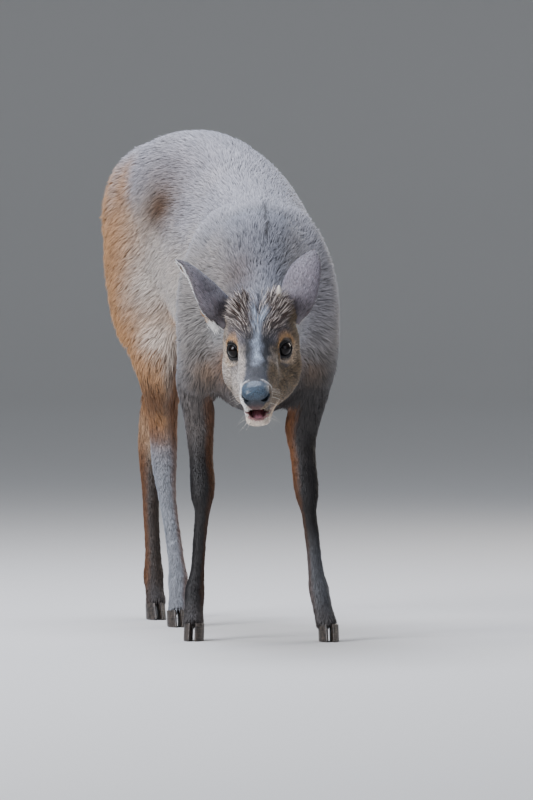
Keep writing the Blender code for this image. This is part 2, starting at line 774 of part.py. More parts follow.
def whole_head():
    """Skull, jaw, cheeks, orbits and pedicles melted into one skin."""
    pieces = [head_loft("skull", SKULL, lower_power=2.8), head_loft("jaw", JAW, upper_power=2.8),
              head_loft("lips", LIPS, upper_power=3.0, lower_power=3.0),
              limb_loft("neck", NECK, (1, 0, 0), sides=28)]
    axes = (FORWARD, LEFT, UP)
    slope = (FORWARD - UP * PEDICLE_SLOPE).normalized()
    ridge = (slope, LEFT, slope.cross(LEFT))
    for sign in (-1, 1):
        for name, ((forward, outward, up), radii) in HEAD_FORMS.items():
            pieces.append(ball(name, on_head(forward, sign * outward, up), radii, axes))
        (forward, outward, up), radii = PEDICLE
        pieces.append(ball("pedicle", on_head(forward, sign * outward, up), radii, ridge))
    head = melt("head", pieces, HEAD_VOXEL, 14)
    back = block("behind", on_head(-0.30, 0, 0), (0.30, 0.5, 0.5), axes)
    cut(head, back)
    head = largest(head)
    forward = (all_points(head) - np.array(HEAD_AT)) @ np.array(FORWARD)
    weight = np.where(forward > -0.03, 0.6, 0.3)
    thin_out(head, HEAD_TRIANGLES, weight)
    return fuse(head, crown_locks(head))


# Parting the body

NECK_HEAD_CUT = (Vector((-0.008, -0.252, 0.418)), Vector((0.0, -1.0, -0.10)))
NECK_TRUNK_CUT = (Vector((-0.012, -0.083, 0.480)), Vector((0.0, -0.923, 0.385)))
SHANK_CUT_HEIGHT = 0.372
FORELEG_ARCH = (0.000, 0.485, 0.088, 0.098)     # y, z, half width and rise of the arch
THIGH_ARCH = (-0.022, 0.540, 0.128, 0.112)
FORELEG_INSIDE = 0.046
THIGH_INSIDE = 0.010


def arch_prism(name, origin, forward, outward, arch, inside, floor, reach=0.25):
    """Block with an arched top that takes a leg from the body's side."""
    shift, spring, half, rise = arch
    steps = 20
    angle = np.pi * np.arange(steps + 1) / steps
    outline = [(shift + half * np.cos(a), spring + rise * np.sin(a)) for a in angle]
    outline += [(shift - half * 1.6, floor), (shift + half * 1.6, floor)]
    rings = [[np.array(origin) + np.array(forward) * f + np.array(outward) * out + np.array((0, 0, z))
              for f, z in outline] for out in (inside, reach)]
    return loft(name, rings)


def part_body(body):
    """Cut the whole body into torso, neck, forelegs, thighs and shanks."""
    found = {}
    lower_box = block("lower", (0, 0.75, SHANK_CUT_HEIGHT / 2 - GAP), (2.0, 1.0, SHANK_CUT_HEIGHT))
    shanks = copy_of(body, "shanks")
    combine("shanks", [shanks, lower_box], "INTERSECT")
    cut(body, block("lower", (0, 0.75, SHANK_CUT_HEIGHT / 2), (2.0, 1.0, SHANK_CUT_HEIGHT)))
    remove(lower_box)
    pair = islands(shanks)[:2]
    pair.sort(key=lambda piece: middle(piece)[1])
    found["shank_right"], found["shank_left"] = pair
    legs = []
    for sign, side in ((-1, "right"), (1, "left")):
        legs.append(("foreleg_" + side, Vector((SHOULDER_MIDLINE, -0.025, 0)), Vector((0, -1, 0)),
                     Vector((sign, 0, 0)), FORELEG_ARCH, FORELEG_INSIDE, -0.1))
        legs.append(("thigh_" + side, HIP_CENTRE, HIP_FORWARD, HIP_LEFT * sign, THIGH_ARCH,
                     THIGH_INSIDE, 0.30))
    for name, origin, forward, outward, arch, inside, floor in legs:
        room = arch_prism("room", origin, forward, outward, arch, inside, floor)
        tight = arch_prism("tight", origin, forward, outward,
                           (arch[0], arch[1], arch[2] - GAP, arch[3] - GAP), inside + GAP, floor)
        piece = copy_of(body, name)
        combine("take", [piece, tight], "INTERSECT")
        cut(body, room)
        remove(tight)
        found[name] = largest(piece)
    cut(body, across_plane("neck_base", *NECK_TRUNK_CUT))
    front, normal = NECK_HEAD_CUT
    normal = normal.normalized()
    cut(body, block("head_room", front + normal * (0.2 - GAP), (0.6, 0.6, 0.4),
                    (Vector((1, 0, 0)), normal.cross(Vector((1, 0, 0))), normal)))
    pieces = islands(body)
    found["torso"], found["neck"] = pieces[:2]
    for scrap in pieces[2:]:
        remove(scrap)
    return found


# Feet


def claw(name, place, heading, side):
    """One hoof claw: flat sole, pointed toe, straight inner wall."""
    turn = Matrix.Rotation(np.radians(heading), 3, "Z")
    toe = turn @ Vector((0, -1, 0))
    out = turn @ Vector((1, 0, 0)) * side
    steps = 12
    rings = []
    for level in (0.0, 0.35, 0.7, 1.0):
        ring = []
        for step in range(steps):
            angle = 2 * np.pi * step / steps
            along = np.cos(angle)
            wide = np.sin(angle)
            point = 1.0 - 0.42 * max(along, 0.0) ** 1.8
            width = CLAW_WIDTH * (0.5 + 0.46 * wide) * point
            length = CLAW_LENGTH * 0.5 * along * (1.0 - 0.26 * level) - 0.0075 * level
            height = level * (CORONET_HEIGHT + CORONET_FALL * length - GAP)
            spread = 0.0008 + width
            centre = Vector((place[0], place[1], 0.0))
            ring.append(centre + toe * length + out * spread + Vector((0, 0, height)))
        rings.append(ring)
    return loft(name, rings)


def dewclaw(name, fetlock, heading, side):
    """Small blunt claw behind the fetlock, its root sunk in the leg."""
    turn = Matrix.Rotation(np.radians(heading), 3, "Z")
    back = turn @ Vector((0, 1, 0))
    out = turn @ Vector((1, 0, 0)) * side
    root = Vector(fetlock) + back * 0.009 + out * 0.0062 + Vector((0, 0, 0.004))
    tip = root + back * 0.0115 + out * 0.0020 - Vector((0, 0, 0.0130))
    rows = []
    for share, wide, deep in DEWCLAW:
        rows.append((*root.lerp(tip, share), wide, deep))
    return limb_loft(name, rows, out, sides=8, steps=1)


def finish_feet(found):
    """Trim each leg at its coronet and set claws and dewclaws in place."""
    hosts = {"fore_left": "foreleg_left", "fore_right": "foreleg_right",
             "hind_left": "shank_left", "hind_right": "shank_right"}
    for foot, (place, heading, fetlock) in FEET.items():
        host = found[hosts[foot]]
        toe = Matrix.Rotation(np.radians(heading), 3, "Z") @ Vector((0, -1, 0))
        slope = (toe + Vector((0, 0, CORONET_FALL))).normalized()
        normal = slope.cross(toe.cross(Vector((0, 0, 1)))).normalized()
        normal = normal if normal.z > 0 else -normal
        level = Vector((*place, CORONET_HEIGHT))
        side = normal.cross(slope)
        cut(host, block("sole_room", level - normal * 0.05, (0.12, 0.12, 0.10), (slope, side, normal)))
        for sign in (1, -1):
            inner = "inner" if sign * (1 if "right" in foot else -1) > 0 else "outer"
            horn = claw("hoof", place, heading, sign)
            finish(horn, f"hoof_{foot}_{inner}", "horn", 0.45)
            small = dewclaw("dewclaw", fetlock, heading, sign)
            make_room(host, small)
            finish(small, f"dewclaw_{foot}_{inner}", "horn", 0.5)
        found[hosts[foot]] = largest(host)


# Head pieces


def ear(name, root, tip, opening, twist):
    """Cupped ear: a twisted leaf-shaped solid with its hollow cut from the open side."""
    along = (tip - root).normalized()
    back = (-opening - along * (-opening).dot(along)).normalized()
    across = along.cross(back)
    outer, inner = [], []
    x, y = oval(16, 2.0, 2.0)
    for share, wide in EAR_LEAF:
        curve = EAR_BEND * np.sin(np.pi * max(share, 0))
        deep = wide * (0.95 - 0.45 * min(max(share, 0) / 0.35, 1.0))
        centre = np.array(root + (tip - root) * share + back * curve)
        turn = twist * np.interp(share, EAR_TWIST_REACH, (0, 1))
        wide_way = np.array(across * np.cos(turn) + back * np.sin(turn))
        deep_way = np.array(back * np.cos(turn) - across * np.sin(turn))
        outer.append(centre + np.outer(x * wide, wide_way) + np.outer(y * deep, deep_way))
        if 0.1 < share < 1.0:
            wall = EAR_WALL if wide > 0.01 else wide * 0.3
            reach = wide * 0.95
            shift = deep - wall - reach
            inner.append(centre + deep_way * shift + np.outer(x * (wide * 0.90 - 0.0004), wide_way)
                         + np.outer(y * reach, deep_way))
    made = loft(name, outer)
    cut(made, loft("cup", inner))
    return largest(made)


def antler(name):
    """Short single spike on the left pedicle."""
    root = on_head(*ANTLER_ROOT)
    lean = (UP + LEFT * 0.10 - FORWARD * 0.15).normalized()
    rows = [(*(root + lean * ANTLER_LENGTH * share), size, size)
            for share, size in ANTLER_SECTIONS]
    return limb_loft(name, rows, LEFT, sides=10, steps=1)


def finish_head(head):
    """Open the mouth, nostrils and lids, and set the separate pieces in."""
    axes = (FORWARD, LEFT, UP)
    cut(head, head_loft("cavity", MOUTH_CAVITY, sides=16, steps=2))
    corner_forward, corner_up = MOUTH_CORNER
    slit = []
    for forward, low, high in MOUTH_SLIT:
        line = corner_up + (forward - corner_forward) * MOUTH_RISE
        slit.append([on_head(forward, left, line + edge)
                     for left, edge in ((-0.05, low), (0.05, low), (0.05, high), (-0.05, high))])
    cut(head, loft("slit", slit))
    along = (on_head(corner_forward, 0, corner_up) - on_head(JAW_ANGLE[0], 0, JAW_ANGLE[1]))
    normal = along.cross(LEFT).normalized()
    centre = on_head((corner_forward + JAW_ANGLE[0]) / 2, 0, (corner_up + JAW_ANGLE[1]) / 2)
    cut(head, block("jaw_line", centre, (along.length + 0.004, 0.2, GAP),
                    (along.normalized(), LEFT, normal)))
    cut(head, block("jaw_back", on_head(JAW_ANGLE[0], 0, JAW_ANGLE[1] - 0.05), (GAP, 0.2, 0.1), axes))
    tilt = (FORWARD + UP * 0.10).normalized()
    cut(head, block("nose_cut", on_head(NOSE_CUT, 0, -0.018), (GAP, 0.1, 0.09),
                    (tilt, LEFT, tilt.cross(LEFT))))
    front, behind = NECK_HEAD_CUT
    behind = behind.normalized()
    cut(head, block("neck_room", front - behind * 0.2, (0.6, 0.6, 0.4),
                    (Vector((1, 0, 0)), behind.cross(Vector((1, 0, 0))), behind)))
    pieces = islands(head)
    head = pieces[0]
    rest = pieces[1:]
    nose = max(rest, key=lambda piece: (Vector(middle(piece)) - HEAD_AT).dot(FORWARD))
    jaw = max((piece for piece in rest if piece != nose), key=volume)
    for scrap in rest:
        if scrap not in (nose, jaw):
            remove(scrap)
    for sign, side in ((1, "left"), (-1, "right")):
        centre = on_head(0, sign * EYE_OFFSET, 0)
        eye = ball("eye", centre, (EYE_RADIUS,) * 3, axes, 16, 9)
        cut(head, ball("socket", centre, (EYE_RADIUS + GAP,) * 3, axes, 16, 9))
        ahead, outward, upward = EYE_LOOK
        look = (LEFT * sign * outward + FORWARD * ahead + UP * upward).normalized()
        slant = (FORWARD - look * FORWARD.dot(look) - UP * 0.10).normalized()
        lids = ball("lids", centre + look * LIDS_AHEAD, LIDS_SIZE,
                    (slant, look, slant.cross(look)), 16, 8)
        cut(head, lids)
        finish(eye, "eye_" + side, "eye", 0.08)
        slot = (LEFT * sign * 0.75 + UP * 0.35 - FORWARD * 0.30).normalized()
        beside = slot.cross(UP).normalized()
        forward, outward, up = NOSTRIL_AT
        cut(nose, ball("nostril", on_head(forward, sign * outward, up), NOSTRIL_SIZE,
                       (slot, beside, slot.cross(beside)), 12, 8))
        root, tip, opening = EARS["ear_" + side]
        made = ear("ear", root, tip, opening, EAR_TWIST["ear_" + side])
        make_room(head, made)
        finish(made, "ear_" + side, "ear")
    spike = antler("antler")
    make_room(head, spike)
    finish(spike, "antler_left", "bone", 0.5)
    tongue = head_loft("tongue", TONGUE, sides=12, steps=2, lower_power=2.0)
    make_room(jaw, tongue)
    make_room(head, tongue)
    finish(largest(head), "head", "face")
    finish(largest(jaw), "lower_jaw", "face")
    finish(largest(nose), "nose_pad", "nose", 0.25)
    finish(tongue, "tongue", "tongue", 0.35)


# Tail


def tail():
    """Short hanging tail: a flat core and the locks that fringe it."""
    hang = (-HIP_FORWARD * 0.30 - Vector((0, 0, 1))).normalized()
    rear = hang.cross(HIP_LEFT).normalized()
    rear = rear if rear.dot(HIP_FORWARD) < 0 else -rear

    def spine(share):
        return (TAIL_ROOT + hang * TAIL_LENGTH * share
                - HIP_FORWARD * TAIL_BEND * np.sin(np.pi * min(max(share, 0), 1)))

    rows = [(*spine(share), wide, deep) for share, wide, deep in TAIL]
    core = limb_loft("tail", rows, HIP_LEFT, sides=14, steps=2)
    draw = np.random.default_rng(11)
    locks = []
    for index in range(TAIL_LOCKS):
        share = 0.14 + 0.56 * (index + 0.5) / TAIL_LOCKS
        wide = np.interp(share, *np.array(TAIL)[:, :2].T)
        deep = np.interp(share, *np.array(TAIL)[:, ::2].T)
        side = (1, -1, 0.45, -0.45)[index % 4]
        face = rear * (1 if index % 8 < 4 else -1) if abs(side) < 1 else HIP_LEFT * side
        offset = HIP_LEFT * side * wide * 0.72 + (rear * np.sign(face.dot(rear)) * deep * 0.55
                                                  if abs(side) < 1 else Vector())
        length = TAIL_LENGTH * min(0.42, 0.98 - share) * draw.uniform(0.92, 1.0)
        lie = hang + HIP_LEFT * side * 0.16 + face * 0.05
        locks.append(lock(spine(share) + offset, lie, rear, length,
                          draw.uniform(0.0054, 0.0066), -HIP_LEFT * side * 0.003))
    return fuse(core, locks)


def settle():
    """Move all pieces so that the origin is the middle of the footprint."""
    low = np.full(3, np.inf)
    high = np.full(3, -np.inf)
    for made in PARTS.objects:
        corners = all_points(made)
        low = np.minimum(low, corners.min(axis=0))
        high = np.maximum(high, corners.max(axis=0))
    shift = Vector((-(low[0] + high[0]) / 2, -(low[1] + high[1]) / 2, -low[2]))
    for made in PARTS.objects:
        made.data.transform(Matrix.Translation(shift))


finish_head(whole_head())
nodes = part_body(whole_body())
for side in ("left", "right"):
    make_room(nodes["neck"], PARTS.objects["ear_" + side])
hanging = tail()
make_room(nodes["torso"], hanging)
for side in ("left", "right"):
    make_room(nodes["thigh_" + side], hanging)
finish_feet(nodes)
finish(hanging, "tail", "back")
LOOKS = {"torso": "flank", "neck": "back"}
for node, piece in nodes.items():
    finish(largest(piece), node, LOOKS.get(node, "leg" if "leg" in node or "shank" in node else "flank"))
for leftover in list(CUTTERS.objects):
    remove(leftover)
settle()
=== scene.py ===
# %% [markdown]
# # A red brocket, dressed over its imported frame
#
# The frame is a plain life-size solid of a small forest deer. This lesson
# builds the living look over it: one skin worked out with arrays, a coat of
# small hair tufts that follows the lie of the real coat, wet eyes and nose,
# thin cupped ears, a bare antler spike and horn hooves.
# Every new piece is made in the frame's own metres, so nothing is fitted by eye.

import bpy
import numpy as np
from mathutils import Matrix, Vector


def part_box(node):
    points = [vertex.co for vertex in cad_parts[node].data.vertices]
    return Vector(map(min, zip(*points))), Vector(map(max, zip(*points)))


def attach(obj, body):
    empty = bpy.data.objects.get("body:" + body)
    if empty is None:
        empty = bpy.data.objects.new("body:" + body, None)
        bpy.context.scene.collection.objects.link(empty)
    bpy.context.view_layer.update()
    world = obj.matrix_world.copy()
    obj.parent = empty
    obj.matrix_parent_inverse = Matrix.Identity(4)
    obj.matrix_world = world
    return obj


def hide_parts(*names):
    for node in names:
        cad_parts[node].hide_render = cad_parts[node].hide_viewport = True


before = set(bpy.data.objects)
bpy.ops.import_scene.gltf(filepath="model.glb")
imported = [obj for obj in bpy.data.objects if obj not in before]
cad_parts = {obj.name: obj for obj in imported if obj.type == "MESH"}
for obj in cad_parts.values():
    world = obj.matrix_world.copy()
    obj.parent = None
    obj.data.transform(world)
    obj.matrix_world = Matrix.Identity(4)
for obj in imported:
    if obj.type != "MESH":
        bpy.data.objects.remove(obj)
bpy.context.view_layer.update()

# %% [markdown]
# ## The head's own axes
#
# The head is turned: its nose points down by 20 degrees, a little to the
# animal's right, and its left eye is a little higher. Measuring everything on
# the head along its own forward, left and up axes keeps the face symmetric.
# The sizes below are in the maker's frame, and SHIFT carries them to the
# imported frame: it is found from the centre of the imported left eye.

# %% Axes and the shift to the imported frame
Z = np.array((0.0, 0.0, 1.0))
HEAD_AT = np.array((-0.0095, -0.330, 0.409))
PITCH, YAW, ROLL = np.radians((20.0, 3.0, 2.8))
EYE_RADIUS = 0.0125
FRAME_EYE_OUT = 0.0325          # where the frame's eyes sit, and the slightly deeper ones here
EYE_OUT = 0.0302

level = np.array((-np.sin(YAW), -np.cos(YAW), 0.0))
FORWARD = level * np.cos(PITCH) - Z * np.sin(PITCH)
LEFT = np.cross(Z, level) * np.cos(ROLL) + np.cross(FORWARD, np.cross(Z, level)) * np.sin(ROLL)
UP = np.cross(FORWARD, LEFT)


def on_head(forward, outward, up):
    """Point = head's place + forward, left and up shares of its own axes."""
    return (HEAD_AT + np.multiply.outer(forward, FORWARD)
            + np.multiply.outer(outward, LEFT) + np.multiply.outer(up, UP))


def head_axes_of(points):
    """Forward, left and up of points: their dot products with the three axes."""
    away = points - HEAD_AT
    return away @ FORWARD, away @ LEFT, away @ UP


low, high = (np.array(corner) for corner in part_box("eye_left"))
SHIFT = (low + high) / 2 - on_head(0.0, FRAME_EYE_OUT, 0.0)
print("shift to the packed frame, mm:", (SHIFT * 1000).round(1))

# %% [markdown]
# ## Small tools for arrays and meshes
#
# A shape is a grid of points that numpy works out whole. These helpers turn
# such grids into closed meshes. A tube runs through rings of points, and a fan
# of triangles closes each end. Its volume says whether its faces look out.

# %% Grids, tubes and meshes


def unit(vectors):
    """Each vector divided by its own length."""
    return vectors / np.maximum(np.linalg.norm(vectors, axis=-1, keepdims=True), 1e-12)


def smoothstep(low, high, value):
    """0 below low, 1 above high, and 3t^2 - 2t^3 between."""
    t = np.clip((value - low) / (high - low), 0, 1)
    return t * t * (3 - 2 * t)


def smooth_rows(rows, steps):
    """Catmull-Rom curve through the rows of a table, column by column."""
    table = np.asarray(rows, dtype=float)
    padded = np.vstack([2 * table[0] - table[1], table, 2 * table[-1] - table[-2]])
    before, start, end, after = (padded[i:len(padded) - 3 + i, None] for i in range(4))
    t = (np.arange(steps) / steps)[None, :, None]
    curve = 0.5 * (2 * start + (end - before) * t
                   + (2 * before - 5 * start + 4 * end - after) * t ** 2
                   + (3 * start - before - 3 * end + after) * t ** 3)
    return np.vstack([curve.reshape(-1, table.shape[1]), table[-1]])


def oval(sides, upper_power=2.0, lower_power=2.0):
    """Superellipse of radius one: |x|^p + |y|^p = 1, with p for each half."""
    angle = 2 * np.pi * np.arange(sides) / sides
    power = np.where(np.sin(angle) > 0, upper_power, lower_power)
    cos, sin = np.cos(angle), np.sin(angle)
    return (np.sign(cos) * np.abs(cos) ** (2 / power),
            np.sign(sin) * np.abs(sin) ** (2 / power))


def signed_volume(points, triangles):
    """Sum over triangles of a . (b x c) / 6."""
    a, b, c = (points[triangles[:, i]] for i in range(3))
    return np.einsum("ij,ij->", a, np.cross(b, c)) / 6


def facing_out(points, triangles, centre):
    """The triangles, turned over where the volume that they close is negative."""
    turned = signed_volume(points - centre, triangles) < 0
    return triangles[:, ::-1] if turned else triangles


def grid_walk(rows, columns):
    """Row and column numbers of a grid, row by row."""
    numbers = np.meshgrid(np.arange(rows), np.arange(columns), indexing="ij")
    return (part.ravel() for part in numbers)


def tube(rings):
    """Closed tube: quads between neighbouring rings, a fan over each end."""
    rings = np.asarray(rings, dtype=float)
    count, sides = rings.shape[:2]
    points = np.vstack([rings.reshape(-1, 3), rings[0].mean(0), rings[-1].mean(0)])
    row, side = grid_walk(count - 1, sides)
    after = (side + 1) % sides
    a, b = row * sides + side, row * sides + after
    c, d = b + sides, a + sides
    walls = np.vstack([np.column_stack([a, b, c]), np.column_stack([a, c, d])])
    s = np.arange(sides)
    n = (s + 1) % sides
    end = (count - 1) * sides
    fans = np.vstack([np.column_stack([np.full(sides, count * sides), n, s]),
                      np.column_stack([np.full(sides, count * sides + 1), end + s, end + n])])
    return points, facing_out(points, np.vstack([walls, fans]), points.mean(0))


def pile(solids):
    """Several point and triangle arrays as one pair, with indices moved on."""
    points, triangles, start = [], [], 0
    for some_points, some_triangles in solids:
        points.append(some_points)
        triangles.append(some_triangles + start)
        start += len(some_points)
    return np.vstack(points), np.vstack(triangles)


# %% Meshes from arrays and back


def put(name, points, triangles, shift=0.0):
    """Mesh object at the origin from an array of points and one of triangles."""
    mesh = bpy.data.meshes.new(name)
    mesh.vertices.add(len(points))
    mesh.vertices.foreach_set("co", (points + shift).ravel())
    mesh.loops.add(triangles.size)
    corners = np.ascontiguousarray(triangles, dtype=np.int32).ravel()
    mesh.loops.foreach_set("vertex_index", corners)
    mesh.polygons.add(len(triangles))
    mesh.polygons.foreach_set("loop_start", np.arange(len(triangles), dtype=np.int32) * 3)
    mesh.update(calc_edges=True)
    mesh.shade_smooth()
    made = bpy.data.objects.new(name, mesh)
    bpy.context.scene.collection.objects.link(made)
    return made


def points_of(mesh):
    """The mesh's points as rows of x, y, z."""
    points = np.empty(len(mesh.vertices) * 3)
    mesh.vertices.foreach_get("co", points)
    return points.reshape(-1, 3)


def normals_of(mesh):
    """The mesh's point normals as rows of x, y, z."""
    normals = np.empty(len(mesh.vertices) * 3)
    mesh.vertex_normals.foreach_get("vector", normals)
    return normals.reshape(-1, 3)


def triangles_of(mesh):
    """The mesh's faces, split into triangles of point numbers."""
    mesh.calc_loop_triangles()
    triangles = np.empty(len(mesh.loop_triangles) * 3, dtype=np.int64)
    mesh.loop_triangles.foreach_get("vertices", triangles)
    return triangles.reshape(-1, 3)


def settle_modifiers(made):
    """Give the object the mesh that its modifiers make, and clear them."""
    graph = bpy.context.evaluated_depsgraph_get()
    graph.update()
    mesh = bpy.data.meshes.new_from_object(made.evaluated_get(graph))
    made.modifiers.clear()
    made.data = mesh


def remove(*objects):
    """Delete helper objects that have done their work."""
    for made in objects:
        bpy.data.objects.remove(made, do_unlink=True)


# %% [markdown]
# ## The body's sections
#
# A deer's trunk is a barrel that is deep at the chest and drawn up at the
# flank, and its legs are muscle above and little but bone and tendon below.
# Tables of cross-sections say that in few numbers. The same tables made the
# frame, so skin and frame agree. Each limb has its shoulder or thigh first.

# %% Tables of the body
TRUNK = (   # x, y, height of the back, height of the belly, half width
    (-0.012, -0.150, 0.512, 0.398, 0.040), (-0.012, -0.110, 0.556, 0.350, 0.073),
    (-0.011, -0.050, 0.598, 0.322, 0.094), (-0.011, 0.000, 0.611, 0.316, 0.099),
    (-0.014, 0.070, 0.628, 0.323, 0.098), (-0.023, 0.150, 0.654, 0.341, 0.101),
    (-0.042, 0.230, 0.684, 0.363, 0.103), (-0.072, 0.310, 0.709, 0.400, 0.097),
    (-0.107, 0.380, 0.716, 0.440, 0.089), (-0.140, 0.440, 0.708, 0.470, 0.082),
    (-0.170, 0.500, 0.686, 0.500, 0.068), (-0.194, 0.548, 0.650, 0.520, 0.042),
)
NECK = (    # x, y, z of the centre, half width, half height
    (-0.012, 0.030, 0.478, 0.094, 0.124), (-0.012, -0.060, 0.474, 0.090, 0.119),
    (-0.011, -0.130, 0.461, 0.071, 0.093), (-0.009, -0.190, 0.447, 0.053, 0.069),
    (-0.008, -0.250, 0.429, 0.044, 0.058), (-0.008, -0.300, 0.415, 0.038, 0.048),
)
MIDLINE = -0.012
SHOULDER = (    # offset from the midline, y, z, half width, half depth
    (0.046, 0.020, 0.590, 0.016, 0.028), (0.062, 0.000, 0.550, 0.028, 0.052),
    (0.073, -0.025, 0.495, 0.037, 0.076), (0.077, -0.035, 0.440, 0.037, 0.080),
    (0.078, -0.022, 0.395, 0.034, 0.068),
)
FORELEG_RIGHT = (   # x, y, z, half width, half depth, as all limbs below
    (-0.0975, 0.000, 0.362, 0.0290, 0.048), (-0.0938, 0.008, 0.311, 0.0222, 0.030),
    (-0.0910, 0.002, 0.257, 0.0170, 0.021), (-0.0889, -0.004, 0.222, 0.0174, 0.019),
    (-0.0889, -0.005, 0.200, 0.0160, 0.018), (-0.0892, -0.002, 0.178, 0.0110, 0.0140),
    (-0.0924, 0.000, 0.145, 0.0095, 0.0125), (-0.0958, 0.003, 0.097, 0.0098, 0.0125),
    (-0.0993, 0.004, 0.070, 0.0135, 0.0165), (-0.1005, -0.006, 0.045, 0.0132, 0.0135),
    (-0.1010, -0.016, 0.024, 0.0145, 0.0165), (-0.1010, -0.021, 0.012, 0.0140, 0.0160),
)
FORELEG_LEFT = (
    (0.0620, -0.010, 0.362, 0.0300, 0.048), (0.0495, 0.000, 0.300, 0.0240, 0.030),
    (0.0505, -0.008, 0.260, 0.0178, 0.021), (0.0540, -0.016, 0.222, 0.0174, 0.019),
    (0.0562, -0.018, 0.202, 0.0160, 0.018), (0.0585, -0.016, 0.180, 0.0112, 0.0140),
    (0.0625, -0.015, 0.150, 0.0102, 0.0125), (0.0680, -0.014, 0.100, 0.0106, 0.0125),
    (0.0720, -0.014, 0.074, 0.0138, 0.0165), (0.0780, -0.024, 0.045, 0.0134, 0.0135),
    (0.0835, -0.034, 0.024, 0.0145, 0.0165), (0.0860, -0.039, 0.012, 0.0140, 0.0160),
)
HINDLEG_RIGHT = (
    (-0.147, 0.420, 0.668, 0.032, 0.066), (-0.165, 0.410, 0.620, 0.042, 0.096),
    (-0.172, 0.404, 0.560, 0.047, 0.108), (-0.170, 0.390, 0.500, 0.045, 0.105),
    (-0.166, 0.366, 0.450, 0.040, 0.090),
    (-0.162, 0.352, 0.405, 0.0340, 0.066), (-0.156, 0.370, 0.352, 0.0265, 0.044),
    (-0.151, 0.402, 0.305, 0.0200, 0.029), (-0.1495, 0.425, 0.265, 0.0180, 0.0260),
    (-0.1480, 0.418, 0.232, 0.0168, 0.0220), (-0.1445, 0.400, 0.192, 0.0128, 0.0155),
    (-0.1385, 0.380, 0.150, 0.0108, 0.0130), (-0.1305, 0.356, 0.096, 0.0108, 0.0130),
    (-0.1276, 0.344, 0.067, 0.0135, 0.0165), (-0.1272, 0.332, 0.044, 0.0128, 0.0135),
    (-0.1278, 0.322, 0.024, 0.0142, 0.0165), (-0.1280, 0.317, 0.012, 0.0138, 0.0160),
)
HINDLEG_LEFT = (
    (-0.104, 0.452, 0.672, 0.036, 0.070), (-0.088, 0.462, 0.620, 0.044, 0.100),
    (-0.084, 0.464, 0.560, 0.047, 0.110), (-0.092, 0.456, 0.500, 0.045, 0.106),
    (-0.108, 0.446, 0.450, 0.040, 0.088),
    (-0.126, 0.452, 0.405, 0.0340, 0.064), (-0.148, 0.496, 0.352, 0.0260, 0.042),
    (-0.163, 0.545, 0.306, 0.0190, 0.029), (-0.170, 0.572, 0.268, 0.0170, 0.0260),
    (-0.1705, 0.568, 0.232, 0.0160, 0.0220), (-0.1700, 0.558, 0.190, 0.0126, 0.0155),
    (-0.1695, 0.548, 0.150, 0.0112, 0.0130), (-0.1668, 0.536, 0.096, 0.0112, 0.0130),
    (-0.1660, 0.530, 0.066, 0.0140, 0.0165), (-0.1640, 0.518, 0.044, 0.0132, 0.0135),
    (-0.1618, 0.508, 0.024, 0.0142, 0.0165), (-0.1612, 0.503, 0.012, 0.0138, 0.0160),
)
LEGS = {
    "foreleg_right": [(MIDLINE - x, *rest) for x, *rest in SHOULDER] + list(FORELEG_RIGHT),
    "foreleg_left": [(MIDLINE + x, *rest) for x, *rest in SHOULDER] + list(FORELEG_LEFT),
    "hindleg_right": list(HINDLEG_RIGHT),
    "hindleg_left": list(HINDLEG_LEFT),
}
CORONET = 0.0215                # the skin of each leg ends here, over the claws
LEGS = {leg: rows[:-2] + [(*rows[-2][:2], CORONET, *rows[-2][3:])]
        for leg, rows in LEGS.items()}
HIP_YAW = np.radians(28.0)
HIP_FORWARD = np.array((np.sin(HIP_YAW), -np.cos(HIP_YAW), 0.0))
HIP_LEFT = np.array((np.cos(HIP_YAW), np.sin(HIP_YAW), 0.0))
HIP_CENTRE = np.array((-0.135, 0.430, 0.0))
TAIL_ROOT = np.array((-0.203, 0.560, 0.628))
TAIL_HANG = unit(-HIP_FORWARD * 0.30 - Z)
TAIL_LENGTH = 0.115

# %% Lofts of the body


def trunk_solid(rows, sides=48, steps=6):
    """Ovals that stand upright across the trunk's path."""
    table = smooth_rows(rows, steps)
    heading = unit(np.gradient(table[:, :2], axis=0))
    across = np.column_stack([-heading[:, 1], heading[:, 0], np.zeros(len(table))])
    centre = np.column_stack([table[:, :2], (table[:, 2] + table[:, 3]) / 2])
    half = (table[:, 2] - table[:, 3]) / 2
    x, z = oval(sides, 2.15, 2.1)
    return tube(centre[:, None] + across[:, None] * (table[:, 4, None] * x)[..., None]
                + Z * (half[:, None] * z)[..., None])


def limb_solid(rows, side, sides=28, steps=5, power=2.1):
    """Ovals that lie square to the limb's path, wide along the side given."""
    table = smooth_rows(rows, steps)
    along = unit(np.gradient(table[:, :3], axis=0))
    across = unit(side - along * (along @ side)[:, None])
    deep = np.cross(along, across)
    x, y = oval(sides, power, power)
    return tube(table[:, None, :3] + across[:, None] * (table[:, 3, None] * x)[..., None]
                + deep[:, None] * (table[:, 4, None] * y)[..., None])


def egg(centre, radii, axes=np.eye(3), rows=16, sides=24):
    """Ellipsoid: latitude rings of radius sin t at height cos t, along three axes."""
    t = np.pi * (np.arange(rows) + 0.5) / rows
    angle = 2 * np.pi * np.arange(sides) / sides
    ring = np.stack([np.sin(t)[:, None] * np.cos(angle), np.sin(t)[:, None] * np.sin(angle),
                     np.cos(t)[:, None] * np.ones(sides)], -1)
    points, triangles = tube(ring)
    points[-2:] = ((0, 0, 1), (0, 0, -1))
    points = centre + (points * radii) @ np.asarray(axes)
    return points, facing_out(points, triangles, centre)


